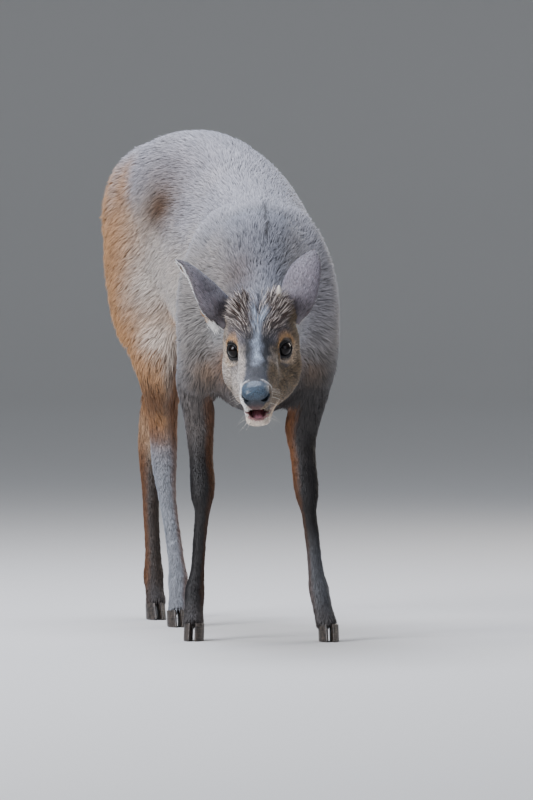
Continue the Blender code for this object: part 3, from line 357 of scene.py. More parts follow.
ACROSS = np.array((1.0, 0.0, 0.0))
tail_rows = [(*(TAIL_ROOT + TAIL_HANG * TAIL_LENGTH * share
                - HIP_FORWARD * 0.020 * np.sin(np.pi * max(share, 0))), wide, deep)
             for share, wide, deep in ((-0.10, 0.015, 0.013), (0.12, 0.015, 0.010),
                                       (0.40, 0.012, 0.007), (0.62, 0.008, 0.005),
                                       (0.72, 0.003, 0.003))]
body_solids = [
    trunk_solid(TRUNK), limb_solid(NECK, ACROSS, sides=40),
    limb_solid(LEGS["foreleg_right"], ACROSS), limb_solid(LEGS["foreleg_left"], ACROSS),
    limb_solid(LEGS["hindleg_right"], HIP_LEFT), limb_solid(LEGS["hindleg_left"], HIP_LEFT),
    limb_solid(tail_rows, HIP_LEFT),
    egg(HIP_CENTRE + Z * 0.585 - HIP_FORWARD * 0.045, (0.088, 0.075, 0.118),
        (HIP_LEFT, -HIP_FORWARD, Z)),
]
HOCK_POINTS = (((-0.1492, 0.430, 0.300), 0.62), ((-0.1705, 0.573, 0.311), 0.90))    # place, lean
for place, lean in HOCK_POINTS:
    axes = (ACROSS, unit(np.array((0.0, 1.0, lean))), unit(np.array((0.0, -lean, 1.0))))
    body_solids.append(egg(np.array(place), (0.0100, 0.0105, 0.040), axes))
print("body lofts:", len(body_solids))

# %% [markdown]
# ## Melting the lofts into one skin
#
# Skin has no seams where leg meets belly. A voxel remesh wraps all the lofts
# in one even surface. Its stairs are then smoothed by Taubin's method, which
# pulls each point to its neighbours' mean and pushes it back, so that nothing
# shrinks. The bulky upper body gets plain smoothing too, as muscle under a
# coat has no hard creases, while the thin legs keep their bone and tendon.

# %% Melt and smooth


def melt(name, points, triangles, voxel):
    """One even surface around overlapping closed shapes."""
    made = put(name, points, triangles)
    change = made.modifiers.new("melt", "REMESH")
    change.mode = "VOXEL"
    change.voxel_size = voxel
    settle_modifiers(made)
    return made


def relax(made, strengths, share=1.0):
    """Point + strength x share x (mean of its neighbours - point), repeated."""
    mesh = made.data
    points = points_of(mesh)
    edges = np.empty(len(mesh.edges) * 2, dtype=np.int64)
    mesh.edges.foreach_get("vertices", edges)
    one, two = edges.reshape(-1, 2).T
    degree = np.bincount(edges, minlength=len(points))[:, None]
    for strength in strengths:
        total = np.column_stack([np.bincount(one, points[two, axis], len(points))
                                 + np.bincount(two, points[one, axis], len(points))
                                 for axis in range(3)])
        points = points + strength * share * (total / degree - points)
    mesh.vertices.foreach_set("co", points.ravel())
    mesh.update()


BODY_VOXEL = 0.0034
body = melt("body", *pile(body_solids), BODY_VOXEL)
relax(body, (0.55, -0.50) * 12)
height = points_of(body.data)[:, 2]
relax(body, (0.5,) * 46, smoothstep(0.30, 0.42, height)[:, None])
ahead, height = points_of(body.data)[:, 1:].T
neck_base = (smoothstep(-0.19, -0.15, ahead) * smoothstep(0.06, 0.02, ahead)
             * smoothstep(0.30, 0.42, height))
relax(body, (0.50, -0.505) * 110, neck_base[:, None])
print("body skin:", len(body.data.polygons), "faces")

# %% [markdown]
# ## The head
#
# A deer's head is a wedge: a broad brow over the orbits, hollow cheeks in
# front of them, a narrow straight bridge and a blunt muzzle. Its lofts are
# melted finer than the body's, at about a millimetre. The mouth stands a
# little open, and its hollow and the nostrils are then cut out.

# %% Tables of the head
SKULL = (   # forward, top, underside, half width
    (-0.088, 0.036, -0.045, 0.042), (-0.050, 0.047, -0.060, 0.051), (-0.025, 0.044, -0.066, 0.051),
    (0.000, 0.035, -0.064, 0.044), (0.025, 0.023, -0.057, 0.035),
    (0.050, 0.013, -0.049, 0.0280), (0.075, 0.007, -0.042, 0.0235),
    (0.100, 0.003, -0.038, 0.0215), (0.118, 0.000, -0.0365, 0.0210),
    (0.130, -0.003, -0.0360, 0.0190), (0.1375, -0.009, -0.0320, 0.0140),
)
JAW = (
    (-0.062, -0.036, -0.072, 0.036), (-0.030, -0.036, -0.079, 0.045),
    (0.000, -0.038, -0.077, 0.041), (0.025, -0.040, -0.072, 0.034),
    (0.050, -0.044, -0.068, 0.0240), (0.075, -0.049, -0.066, 0.0190),
    (0.100, -0.052, -0.065, 0.0168), (0.114, -0.053, -0.0645, 0.0150),
    (0.121, -0.056, -0.062, 0.0095),
)
LIPS = (
    (-0.030, -0.020, -0.072, 0.0470), (0.030, -0.020, -0.068, 0.0355),
    (0.060, -0.020, -0.063, 0.0255), (0.090, -0.020, -0.061, 0.0200),
    (0.108, -0.024, -0.0595, 0.0172), (0.116, -0.028, -0.0580, 0.0150),
)
MOUTH_HOLLOW = (
    (0.060, -0.0455, -0.0490, 0.0080), (0.075, -0.0430, -0.0530, 0.0105),
    (0.095, -0.0400, -0.0560, 0.0120), (0.106, -0.0380, -0.0570, 0.0108),
    (0.114, -0.0365, -0.0545, 0.0108), (0.125, -0.0360, -0.0535, 0.0112),
    (0.150, -0.0360, -0.0535, 0.0116),
)
TONGUE = (
    (0.062, -0.0480, -0.0560, 0.0060), (0.078, -0.0490, -0.0570, 0.0085),
    (0.095, -0.0510, -0.0580, 0.0090), (0.107, -0.0530, -0.0590, 0.0075),
    (0.112, -0.0550, -0.0580, 0.0040),
)
HEAD_FORMS = {      # forward, outward, up, then three radii, one on each side
    "cheek": ((-0.024, 0.034, -0.034), (0.036, 0.020, 0.034)),
    "orbit": ((-0.002, 0.029, 0.003), (0.023, 0.0150, 0.0185)),
    "eyelids": ((0.000, EYE_OUT, 0.000), (EYE_RADIUS + 0.0026,) * 3),
    "ear_root": ((-0.062, 0.034, 0.018), (0.024, 0.015, 0.021)),
    "nostril_wing": ((0.121, 0.0125, -0.019), (0.0125, 0.0085, 0.0125)),
}
PEDICLE = ((-0.038, 0.022, 0.0395), (0.027, 0.0125, 0.0115))
SLOPE = unit(FORWARD - UP * 0.42)
HEAD_AXES = np.array((FORWARD, LEFT, UP))

# %% Lofts of the head


def head_solid(rows, sides=40, steps=5, upper_power=2.2, lower_power=2.4):
    """Ovals square to the head's forward axis, from their top and underside."""
    table = smooth_rows(rows, steps)
    x, y = oval(sides, upper_power, lower_power)
    forward, top, under, half = table.T[..., None]
    up = (top + under) / 2 + (top - under) / 2 * y
    return tube(on_head(forward * np.ones(sides), half * x, up))


def from_eye(points, sign):
    """Distance of points from the middle of an eye."""
    return np.linalg.norm(points - on_head(0.0, sign * EYE_OUT, 0.0), axis=1)


head_solids = [
    head_solid(SKULL, lower_power=2.8), head_solid(JAW, upper_power=2.8),
    head_solid(LIPS, upper_power=3.0, lower_power=3.0),
    limb_solid([(x, y, z, wide - 0.0006 - sunk, tall - 0.0006 - sunk)
                for (x, y, z, wide, tall), sunk in zip(NECK[3:], (0.008, 0.0, 0.0))],
               ACROSS, sides=40),
]
for sign in (-1, 1):
    for (forward, outward, up), radii in HEAD_FORMS.values():
        head_solids.append(egg(on_head(forward, sign * outward, up), radii, HEAD_AXES))
    (forward, outward, up), radii = PEDICLE
    head_solids.append(egg(on_head(forward, sign * outward, up), radii,
                           (SLOPE, LEFT, np.cross(SLOPE, LEFT))))
HEAD_VOXEL = 0.00125
head = melt("head_form", *pile(head_solids), HEAD_VOXEL)
relax(head, (0.55, -0.50) * 14)
forward, outward, up = head_axes_of(points_of(head.data))
fleshy = smoothstep(0.030, -0.015, forward)
beside_eye = np.minimum(*(from_eye(points_of(head.data), sign) for sign in (-1, 1)))
relax(head, (0.5,) * 44, (fleshy * smoothstep(0.013, 0.024, beside_eye))[:, None])
print("head form:", len(head.data.polygons), "faces")

# %% [markdown]
# ## Opening the mouth and the nostrils
#
# The mouth's hollow is a loft, its line is a thin wedge that opens toward the
# front, and each nostril is a comma: a deep egg with a small one beside it
# that trails up and out. They are taken away by Booleans. A second melt then
# rounds every cut edge into a lip about a millimetre thick.

# %% Cut the openings
MOUTH_CORNER = (0.058, -0.0475)     # forward and up
MOUTH_SLOPE = 0.055
NOSTRIL = ((0.1325, 0.0125, -0.0195), (0.0064, 0.0050, 0.0036))         # place, then radii
NOSTRIL_TAIL = ((0.1290, 0.0175, -0.0160), (0.0050, 0.0042, 0.0019))


def mouth_line(forward):
    """Height of the closed mouth: its corner + slope x (forward - the corner's forward)."""
    return MOUTH_CORNER[1] + (forward - MOUTH_CORNER[0]) * MOUTH_SLOPE


def wedge(low_forward, high_forward, half_width):
    """Eight-cornered wedge along the line of the mouth."""
    rings = []
    for forward, low, high in ((low_forward, -0.0008, 0.0008), (high_forward, -0.0018, 0.0012)):
        rings.append([on_head(forward, side * half_width, mouth_line(forward) + edge)
                      for side, edge in ((-1, low), (1, low), (1, high), (-1, high))])
    return tube(rings)


def take_away(made, solid):
    """Boolean difference of the object and a closed shape."""
    cutter = put("cutter", *solid)
    change = made.modifiers.new("cut", "BOOLEAN")
    change.operation = "DIFFERENCE"
    change.solver = "MANIFOLD"
    change.object = cutter
    settle_modifiers(made)
    remove(cutter)


take_away(head, head_solid(MOUTH_HOLLOW, sides=24))
take_away(head, wedge(MOUTH_CORNER[0], 0.150, 0.05))
for sign in (-1, 1):
    lean = unit(LEFT * sign * 0.75 + UP * 0.35 - FORWARD * 0.30)
    beside = unit(np.cross(lean, UP))
    axes = np.array((lean, beside, np.cross(lean, beside)))
    for (forward, outward, up), radii in (NOSTRIL, NOSTRIL_TAIL):
        take_away(head, egg(on_head(forward, sign * outward, up), radii, axes))
points, triangles = points_of(head.data), triangles_of(head.data)
remove(head)
HEAD_SKIN_VOXEL = 0.00115
head = melt("head_skin", points, triangles, HEAD_SKIN_VOXEL)
relax(head, (0.55, -0.50) * 3)
print("head skin:", len(head.data.polygons), "faces")

# %% [markdown]
# ## Lids and sockets
#
# A deer's eye bulges from the side of the head, and its lids hug the ball.
# Here each point near an eye is looked at from the eye's centre. Inside an
# almond-shaped window it is drawn in below the ball's surface, and just
# outside the window it is held at a lid's thickness over the ball, with a
# soft fold above. So the lids fit the ball from every side. First the face in
# front of each eye is drawn in by a shallow hollow, so that the bridge doesn't
# hide the nose side of the eye.

# %% Shape the lids
LID_HALF = (0.0112, 0.0092)         # half length and half height of the window
LID_POWER = 1.85                    # below 2 its corners are slightly pointed


def eye_frame(sign):
    """Centre of an eye, the way it looks, its corner-to-corner axis and its up."""
    centre = on_head(0.0, sign * EYE_OUT, 0.0)
    look = unit(LEFT * sign * 0.66 + FORWARD * 0.74 + UP * 0.12)
    slant = unit(FORWARD - look * (FORWARD @ look) - UP * 0.20)
    lift = np.cross(slant, look) * sign
    return centre, look, slant, lift if lift @ UP > 0 else -lift


def almond(across, up):
    """(|across / half length|^p + |up / half height|^p)^(1/p): 0 inside, 1 on the edge."""
    shares = (np.abs(across / LID_HALF[0]) ** LID_POWER
              + np.abs(up / LID_HALF[1]) ** LID_POWER)
    return shares ** (1 / LID_POWER)


def eye_edge(points, sign):
    """The almond's measure at points near an eye, 9 elsewhere; and the way to its centre."""
    centre, look, slant, lift = eye_frame(sign)
    away = points - centre
    distance = np.linalg.norm(away, axis=1)
    facing = away / distance[:, None] * EYE_RADIUS
    near = (distance < 0.024) & (away @ look > 0.001)
    return np.where(near, almond(facing @ slant, facing @ lift), 9.0), distance


points = points_of(head.data)
forward, outward, up = head_axes_of(points)
hollow = (smoothstep(0.006, 0.014, forward) * smoothstep(0.062, 0.036, forward)
          * smoothstep(-0.024, -0.010, up) * smoothstep(0.022, 0.010, up))
inward = np.clip(np.abs(outward) - 0.0250, 0, 1) * hollow * 0.75
points = points - np.outer(inward * np.sign(outward), LEFT)
for sign in (-1, 1):
    centre = eye_frame(sign)[0]
    edge, distance = eye_edge(points, sign)
    window = 1 - smoothstep(0.90, 1.06, edge)
    lid = (1 - window) * (1 - smoothstep(1.2, 1.75, edge)) * smoothstep(0.023, 0.018, distance)
    radius = distance + (EYE_RADIUS + 0.0016 - distance) * lid * 0.8
    radius = radius + (EYE_RADIUS - 0.0012 - radius) * window
    points = centre + (points - centre) * (radius / distance)[:, None]
head.data.vertices.foreach_set("co", points.ravel())
head.data.update()

# %% [markdown]
# ## One skin
#
# Head and body are joined by a Boolean union, so that the animal has a single
# closed skin. The skin lies below the coat's surface by the depth of the
# hair: a few millimetres on the trunk, hardly any on face and feet. Every
# point therefore moves in along its normal by the coat's depth at its place.

# %% Depth of the coat, and the joined skin
TRUNK_COAT, TAIL_COAT = 0.0060, 0.0015
BODY_FACES, HEAD_FACES = 90000, 104000      # triangles that the thinned meshes keep

def place_shares(points):
    """How far each point belongs to head, neck, forelegs and hindlegs, 0 to 1."""
    head_side = (points - (-0.008, -0.252, 0.418)) @ unit(np.array((0.0, -1.0, -0.10)))
    neck_side = (points - (-0.012, -0.083, 0.480)) @ unit(np.array((0.0, -0.923, 0.385)))
    head_share = smoothstep(-0.012, 0.018, head_side)
    neck_share = smoothstep(-0.03, 0.03, neck_side) * (1 - head_share)
    fore = smoothstep(0.40, 0.30, points[:, 2]) * smoothstep(0.16, 0.12, points[:, 1])
    hind = smoothstep(0.44, 0.34, points[:, 2]) * smoothstep(0.16, 0.20, points[:, 1])
    return head_share, neck_share, fore * (1 - head_share - neck_share), hind


def off_tail(points):
    """Distance of points from the line of the tail."""
    return np.linalg.norm(np.cross(points - TAIL_ROOT, TAIL_HANG), axis=1)


def coat_depth(points):
    """Metres from the skin to the coat's surface, by place."""
    head_share = place_shares(points)[0]
    forward, _, up = head_axes_of(points)
    height = points[:, 2]
    leg = np.interp(height, (0.0, 0.20, 0.30, 0.45), (0.0012, 0.0014, 0.0026, TRUNK_COAT))
    face = np.interp(forward, (-0.09, -0.03, 0.03, 0.10), (0.0042, 0.0026, 0.0014, 0.0009))
    depth = np.where(height < 0.45, leg, TRUNK_COAT)
    depth = depth * (1 - head_share) + face * head_share
    for sign in (-1, 1):
        depth = depth * smoothstep(0.0165, 0.024, from_eye(points, sign))
    beside_mouth = np.abs(up - mouth_line(forward))
    lips = smoothstep(0.050, 0.062, forward) * smoothstep(0.016, 0.009, beside_mouth)
    tail = smoothstep(0.030, 0.018, off_tail(points))
    depth = depth - ((depth - TAIL_COAT) * tail * smoothstep(0.63, 0.60, height)
                     * (points[:, 1] > 0.5))
    return depth * (1 - lips) * smoothstep(0.122, 0.104, forward)


for made, wanted in ((body, BODY_FACES), (head, HEAD_FACES)):
    change = made.modifiers.new("thin", "DECIMATE")
    change.ratio = wanted / (2 * len(made.data.polygons))
    change.use_collapse_triangulate = True
    settle_modifiers(made)
join = body.modifiers.new("join", "BOOLEAN")
join.operation = "UNION"
join.solver = "MANIFOLD"
join.object = head
settle_modifiers(body)
remove(head)
body.modifiers.new("facets", "TRIANGULATE")
settle_modifiers(body)
skin = body
skin.name = skin.data.name = "brocket_skin"
points = points_of(skin.data)
seam = np.exp(-((points[:, 1] + 0.205) / 0.014) ** 2) * (points[:, 2] > 0.30)
relax(skin, (0.5,) * 16, seam[:, None])
points = points_of(skin.data)
points = points - normals_of(skin.data) * coat_depth(points)[:, None]
skin.data.vertices.foreach_set("co", points.ravel())
skin.data.update()
print("skin:", len(triangles_of(skin.data)), "triangles")

# %% [markdown]
# ## Markings
#
# The coat is grey-brown with a cool sheen on back and neck. It turns orange-tan
# on belly, throat, the inside of the legs and the rear edge of the haunch. The
# face is dark along the bridge and pale around the muzzle, with a tan ring round
# a black lid; its right cheek is painted pale as lit, its left a shaded olive.
# Other layers paint light and shade too: dark hollows, shaded legs, lit sides and
# painted highlights. Colours are laid over one another by place in one function,
# which skin and hair both use, so they always agree.

# %% Named colours, and how they are laid
skin_points, skin_normals = points_of(skin.data), normals_of(skin.data)
skin_triangles = triangles_of(skin.data)


def linear(code):
    """sRGB hex to linear light: c / 12.92 when small, else ((c + 0.055) / 1.055)^2.4."""
    srgb = np.array([int(code[i:i + 2], 16) for i in (1, 3, 5)]) / 255
    return np.where(srgb <= 0.04045, srgb / 12.92, ((srgb + 0.055) / 1.055) ** 2.4)


COATS = {name: linear(code) for name, code in {
    "back": "#928e91", "flank": "#aca196", "haunch": "#a2764b", "rear": "#875d37",
    # The hollow colour is painted shade, and the pale fold colour a painted highlight.
    "hollow": "#523b29", "fold": "#d8cabc", "belly": "#b3875a", "throat": "#86562c",
    "neck": "#7b7874", "nape": "#6b6a70", "nape_line": "#1d191a", "shoulder": "#857e79",
    # The dark gaskin colour is painted shade.
    "forearm": "#4f4844", "cannon": "#1b1716", "inner_leg": "#74492a", "gaskin_shade": "#4c2c12",
    # The pale blue-grey right-hind colour is a painted sheen on the dark lower leg.
    "hind_right": "#84868b", "hind_left": "#362c25", "hock_left": "#d8b895",
    "foot": "#3d3836", "tail_white": "#e6e1d8", "white": "#f2efe9",
    # The olive cheek colour is painted shade; the pale cheek colour is partly real pale hair,
    # partly painted light on the right cheek.
    "cheek": "#837464", "cheek_pale": "#bdb1a6", "cheek_olive_shade": "#58452c", "jaw": "#a9875f",
    # The blue-grey gloss colour is a painted highlight.
    "bridge": "#50525a", "stripe": "#1d1c1f", "gloss": "#9aa5b5", "brow": "#5d5a60",
    "forehead": "#5e5450", "crown": "#33231b", "pale_hair": "#b8aba0",
    "under_eye": "#b9a58e", "eye_ring": "#a88055", "lid": "#15100e",
    "lip_band": "#e2ddd6", "chin": "#bfa284", "lip_pink": "#b98385",
    # The blue nose-top colour is a painted highlight on the wet pad.
    "nose": "#1a212b", "nose_top_highlight": "#445c71", "philtrum": "#6b433d",
    # The dark ear colour is partly the darker tip, partly painted shade.
    "ear_back": "#7d757c", "ear_rim": "#ece8e3", "ear_dark_and_shade": "#3b302f", "ear_inside": "#c9b3a4",
}.items()}
# Painted light and shade: the two hollows before the hip are painted dark as shade, and the flank
# fold pale as lit.
HAUNCH_HOLLOW_SHADE = ((-0.142, 0.270, 0.605), (0.036, 0.10, 0.036))      # spots: middle, then size
HOLLOW_TOP_SHADE = ((-0.130, 0.290, 0.650), (0.060, 0.11, 0.032))
FLANK_FOLD_LIGHT = ((-0.145, 0.300, 0.420), (0.030, 0.05, 0.022))
GASKIN_SHADE = ((-0.155, 0.36, 0.335), (0.05, 0.06, 0.035))
HOCK_RIGHT = ((-0.150, 0.420, 0.290), (0.03, 0.05, 0.035))
HOCK_LEFT = ((-0.170, 0.56, 0.285), (0.03, 0.04, 0.035))
# Where the right cheek is painted pale as lit
CHEEK_PAINTED_LIGHT = (on_head(0.055, -0.021, -0.018), (0.045, 0.016, 0.016))
BESIDE_BRIDGE = (on_head(0.048, 0.0170, -0.002), (0.028, 0.0100, 0.014))
SKIN_SHARE = 0.8                # skin between the hairs is darker than their tips
WAVES = 7                       # sines in one noise


def mottle(points, size, seed):
    """Smooth noise from -1 to 1: mean of sines along random directions, one wave size."""
    draw = np.random.default_rng(seed)
    total = np.zeros(len(points))
    for direction in unit(draw.normal(size=(WAVES, 3))):
        wave = 2 * np.pi / (size * draw.uniform(0.7, 1.4))
        total += np.sin(points @ direction * wave + draw.uniform(0, 6.283))
    return total / WAVES * 1.9


def plain(name, points):
    """One named colour for every point."""
    return np.tile(COATS[name], (len(points), 1))


def laid(colour, layers):
    """Colour + share x (named colour - colour), layer by layer, each share from 0 to 1."""
    for name, share in layers:
        colour = colour + (COATS[name] - colour) * np.clip(share, 0, 1)[:, None]
    return colour


def bell(points, centre, size):
    """exp(-distance^2 / size^2) from a centre, with a size for each axis."""
    away = (points - centre) / size
    return np.exp(-np.einsum("ij,ij->i", away, away))


def leg_middle(points, name):
    """Middle of a leg at each point's height, from its table."""
    table = np.array(LEGS[name])[::-1]
    return np.column_stack([np.interp(points[:, 2], table[:, 2], table[:, axis])
                            for axis in (0, 1)])


def tail_share(points):
    """1 on the hanging tail, 0 off it."""
    return (smoothstep(0.034, 0.026, off_tail(points))
            * smoothstep(0.632, 0.612, points[:, 2]) * (points[:, 1] > 0.535))


print("named colours:", len(COATS), "points to colour:", len(skin_points))

# %% [markdown]
# ## Layers of the body
#
# A layer is the name of a colour and a share for every point. Later layers
# cover earlier ones, so they run from large fields to small marks: shoulder,
# back and belly first, then neck and throat, and the dark legs with their tan
# inner faces last. Shares come from height, from place and from the normal.

# %% Trunk, neck, legs and tail


def trunk_layers(points, normals, wander, fore):
    """Shoulder, back, haunch, rear and belly; the haunch's hollows in painted shade, the flank fold
    painted lit.
    """
    x, y, z = points.T
    trunk = np.array(TRUNK)
    top, under = (np.interp(y, trunk[:, 1], trunk[:, column]) for column in (2, 3))
    level = (z - under) / (top - under)
    hips = smoothstep(0.20, 0.34, y)
    return (
        ("shoulder", smoothstep(0.12, -0.02, y + wander * 0.2) * smoothstep(1.0, 0.6, level)),
        ("back", smoothstep(0.50, 0.92, level + wander)),
        ("haunch", hips * smoothstep(0.60, 0.95, -normals[:, 0])
         * smoothstep(-0.165, -0.208, x + 0.12 * wander) * 0.9),
        ("rear", hips * smoothstep(0.25, 0.85, normals @ -HIP_FORWARD)
         * smoothstep(1.05, 0.8, level)),
        ("haunch", hips * smoothstep(0.50, 0.41, z)
         * smoothstep(0.1, 0.7, np.abs(normals @ HIP_LEFT)) * 0.95),
        ("belly", smoothstep(-0.35, -0.85, normals[:, 2] + wander)
         * smoothstep(0.42, 0.18, level) * (1 - fore) * 0.95),
        # Painted shade in the hollows before the hip, and a painted highlight on the flank fold
        ("hollow", bell(points, *HAUNCH_HOLLOW_SHADE)),
        ("hollow", bell(points, *HOLLOW_TOP_SHADE) * 0.40),
        ("fold", bell(points, *FLANK_FOLD_LIGHT) * 0.9),
    )


def neck_layers(points, normals, wander, head_share, neck_share):
    """Grey neck and nape, orange throat, a hollow of painted shade on the right side, painted light
    on the left side, and a thin dark line down the nape.
    """
    x, y, z = points.T
    # A thin dark line down the middle of the nape
    nape_line = (np.exp(-((x + 0.0015 + 0.0006 * np.sin(z * 160)) / 0.0034) ** 2)
               * smoothstep(0.540, 0.560, z))
    return (
        ("neck", neck_share * 0.75),
        ("shoulder", neck_share * smoothstep(0.35, 0.75, np.abs(normals[:, 0]))
         * smoothstep(-0.2, 0.2, normals[:, 2])),
        ("nape", neck_share * smoothstep(0.45, 0.95, normals[:, 2] - y * 1.2 - 0.1)),
        ("throat", smoothstep(0.05, 0.75, -normals[:, 2] - normals[:, 1] * 0.45 + wander)
         * smoothstep(0.02, -0.10, y) * (1 - head_share)
         * smoothstep(0.28, 0.34, z) * smoothstep(0.43, 0.36, z)
         * smoothstep(0.070, 0.040, np.abs(x - MIDLINE))),
        # Painted shade: a dark patch in the hollow on the neck's right side
        ("hollow", neck_share
         * np.exp(-((x + 0.034) / 0.020) ** 2 - ((z - 0.505) / 0.030) ** 2) * 0.6),
        # Painted light: the neck's left side is painted paler, as where light falls on it
        ("back", neck_share * smoothstep(0.020, 0.055, x) * 0.9),
        ("nape_line", nape_line * smoothstep(0.02, -0.03, y) * smoothstep(-0.165, -0.130, y)),
    )


def leg_layers(points, normals, head_share, neck_share, hind):
    """Dark forelegs with tan inner faces, the left one painted dark as shade; painted shade on the
    gaskin; the right shank painted a pale blue-grey sheen, the left shank dark.
    """
    x, y, z = points.T
    low_fore = (smoothstep(0.44, 0.34, z) * smoothstep(0.16, 0.10, y)
                * (1 - head_share - neck_share))
    left_fore = x > MIDLINE
    inward = normals[:, 0] * -np.sign(x - MIDLINE)
    left_hind = smoothstep(-0.01, 0.01, y - 0.47 + (0.30 - z) * 0.30)
    shank = smoothstep(0.30, 0.25, z) * hind
    return (
        ("forearm", low_fore),
        # Dark cannons; the left foreleg is also painted almost as dark all the way up, as painted
        # shade
        ("cannon", np.maximum(smoothstep(0.31, 0.24, z), 0.85 * left_fore) * low_fore),
        # A painted blue-grey sheen on the left fore fetlock
        ("hind_right", low_fore * left_fore * smoothstep(0.17, 0.10, z) * 0.30),
        ("inner_leg", low_fore * smoothstep(0.25, 0.8, inward)
         * smoothstep(0.17, 0.26, z) * (0.45 + 0.4 * left_fore)),
        ("inner_leg", low_fore * smoothstep(0.3, 0.9, inward) * 0.25),
        # Painted shade on the front of the right gaskin, under the belly
        ("gaskin_shade", bell(points, *GASKIN_SHADE) * 0.9),
        # The right shank painted a pale blue-grey sheen, the left shank dark
        ("hind_right", shank * (1 - left_hind)),
        ("inner_leg", bell(points, *HOCK_RIGHT) * (1 - left_hind) * 0.8),
        ("hind_left", shank * left_hind),
        ("hock_left", bell(points, *HOCK_LEFT) * left_hind),
        ("inner_leg", hind * smoothstep(0.2, 0.8, normals[:, 0] * (1 - 2 * left_hind)) * 0.6),
        ("foot", smoothstep(0.070, 0.035, z) * (1 - 0.8 * shank * (1 - left_hind)) * 0.8),
    )


def body_markings(points, normals):
    """Colour of trunk, neck, legs and tail by place and by the way the skin faces."""
    head_share, neck_share, fore, hind = place_shares(points)
    wander = mottle(points, 0.11, 3) * 0.10
    tail = tail_share(points)
    return laid(plain("flank", points), (
        *trunk_layers(points, normals, wander, fore),
        *neck_layers(points, normals, wander, head_share, neck_share),
        *leg_layers(points, normals, head_share, neck_share, hind),
        ("haunch", tail),
        ("tail_white", tail * smoothstep(0.1, 0.5, normals @ HIP_FORWARD)),
    ))


print("body, mean linear colour:", body_markings(skin_points, skin_normals).mean(0).round(3))

# %% [markdown]
# ## Layers of the head
#
# The face is laid out on the head's own axes. Small functions say where the
# crown's tuft, the bare pad and the bare lip are, and both hair and skin ask
# them. The layers run from cheeks to bridge, crown and muzzle, and the rings
# and the black lid of each eye come last.

# %% Crown, nose pad and lower lip


def crown_share(points):
    """1 on the tuft of the crown, from the middle of the forehead to the poll."""
    forward, outward, up = head_axes_of(points)
    half = np.interp(forward, (-0.075, -0.05, -0.02, 0.025), (0.034, 0.038, 0.032, 0.020))
    return (smoothstep(0.030, 0.004, forward) * smoothstep(-0.088, -0.070, forward)
            * smoothstep(1.15, 0.75, np.abs(outward) / half) * smoothstep(0.012, 0.028, up))


def fan_lines(points):
    """1 on the pale lines of the crown's fan, which run with its hair, up and out."""
    forward, outward, _ = head_axes_of(points)
    across = np.abs(outward) + 0.55 * forward + 0.0011 * mottle(points, 0.02, 41)
    return smoothstep(0.45, 0.95, np.sin(across * 2 * np.pi / 0.0042))


def pad_front(points):
    """Way in front of the line where the hair ends and the bare pad begins, in metres."""
    forward, outward, up = head_axes_of(points)
    return (forward - 0.1150 + (up + 0.018) * 0.22 + (outward / 0.018) ** 2 * 0.0015
            - 0.0065 * smoothstep(-0.016, -0.006, up))


def bare_nose(points):
    """1 on the bare pad: wide between the nostrils, narrow down to the lip."""
    forward, outward, up = head_axes_of(points)
    side = np.abs(outward)
    wide = np.interp(up, (-0.040, -0.033, -0.026, -0.018, -0.004),
                     (0.0040, 0.0060, 0.0120, 0.0190, 0.0175))
    return ((pad_front(points) > 0) & (side < wide) & (forward > 0.10)) * 1.0


def lip_rim(points):
    """1 on the bare rim of the lower lip in front."""
    forward, outward, up = head_axes_of(points)
    side = np.abs(outward)
    low = -0.0572 + (side / 0.012) ** 2 * 0.0030
    return ((forward > 0.100) & (up > low) & (up < -0.0500) & (side < 0.0145)) * 1.0


print("points on crown, pad and lip:",
      [round(part(skin_points).sum()) for part in (crown_share, bare_nose, lip_rim)])

# %% Cheeks, bridge, crown, muzzle and eyes


def cheeks(points, facing_up):
    """Jaw, forehead and cheeks: the right cheek painted pale as lit, the left painted a shaded
    olive, both speckled.
    """
    forward, outward, up = head_axes_of(points)
    side = np.abs(outward)
    light_side = outward < 0
    colour = laid(plain("cheek", points), (
        ("jaw", smoothstep(-0.25, -0.75, facing_up) * smoothstep(-0.035, -0.06, up)),
        ("forehead", smoothstep(0.35, 0.8, facing_up) * smoothstep(0.05, 0.02, forward)),
        # Painted light: the right cheek, on the lit side, is painted pale
        ("cheek_pale", light_side * smoothstep(-0.03, 0.0, forward)
         * smoothstep(-0.055, -0.030, up) * 0.75
         * np.maximum(smoothstep(0.018, 0.006, up), smoothstep(0.036, 0.044, side))),
        ("cheek_pale", light_side * bell(points, *CHEEK_PAINTED_LIGHT)),
        # Painted shade: the left cheek is painted olive
        ("cheek_olive_shade", (outward > 0) * smoothstep(0.020, 0.028, side + forward * 0.12) * 0.8),
        ("cheek_pale", bell(points, *BESIDE_BRIDGE) * 0.40),
    ))
    grain = mottle(points, 0.0058, 61) + mottle(points, 0.0085, 62) * 0.5
    speckled = smoothstep(0.014, 0.022, side) * smoothstep(0.15, 0.50, grain)
    return colour * (1 - 0.52 * speckled * smoothstep(0.10, 0.07, forward))[:, None]


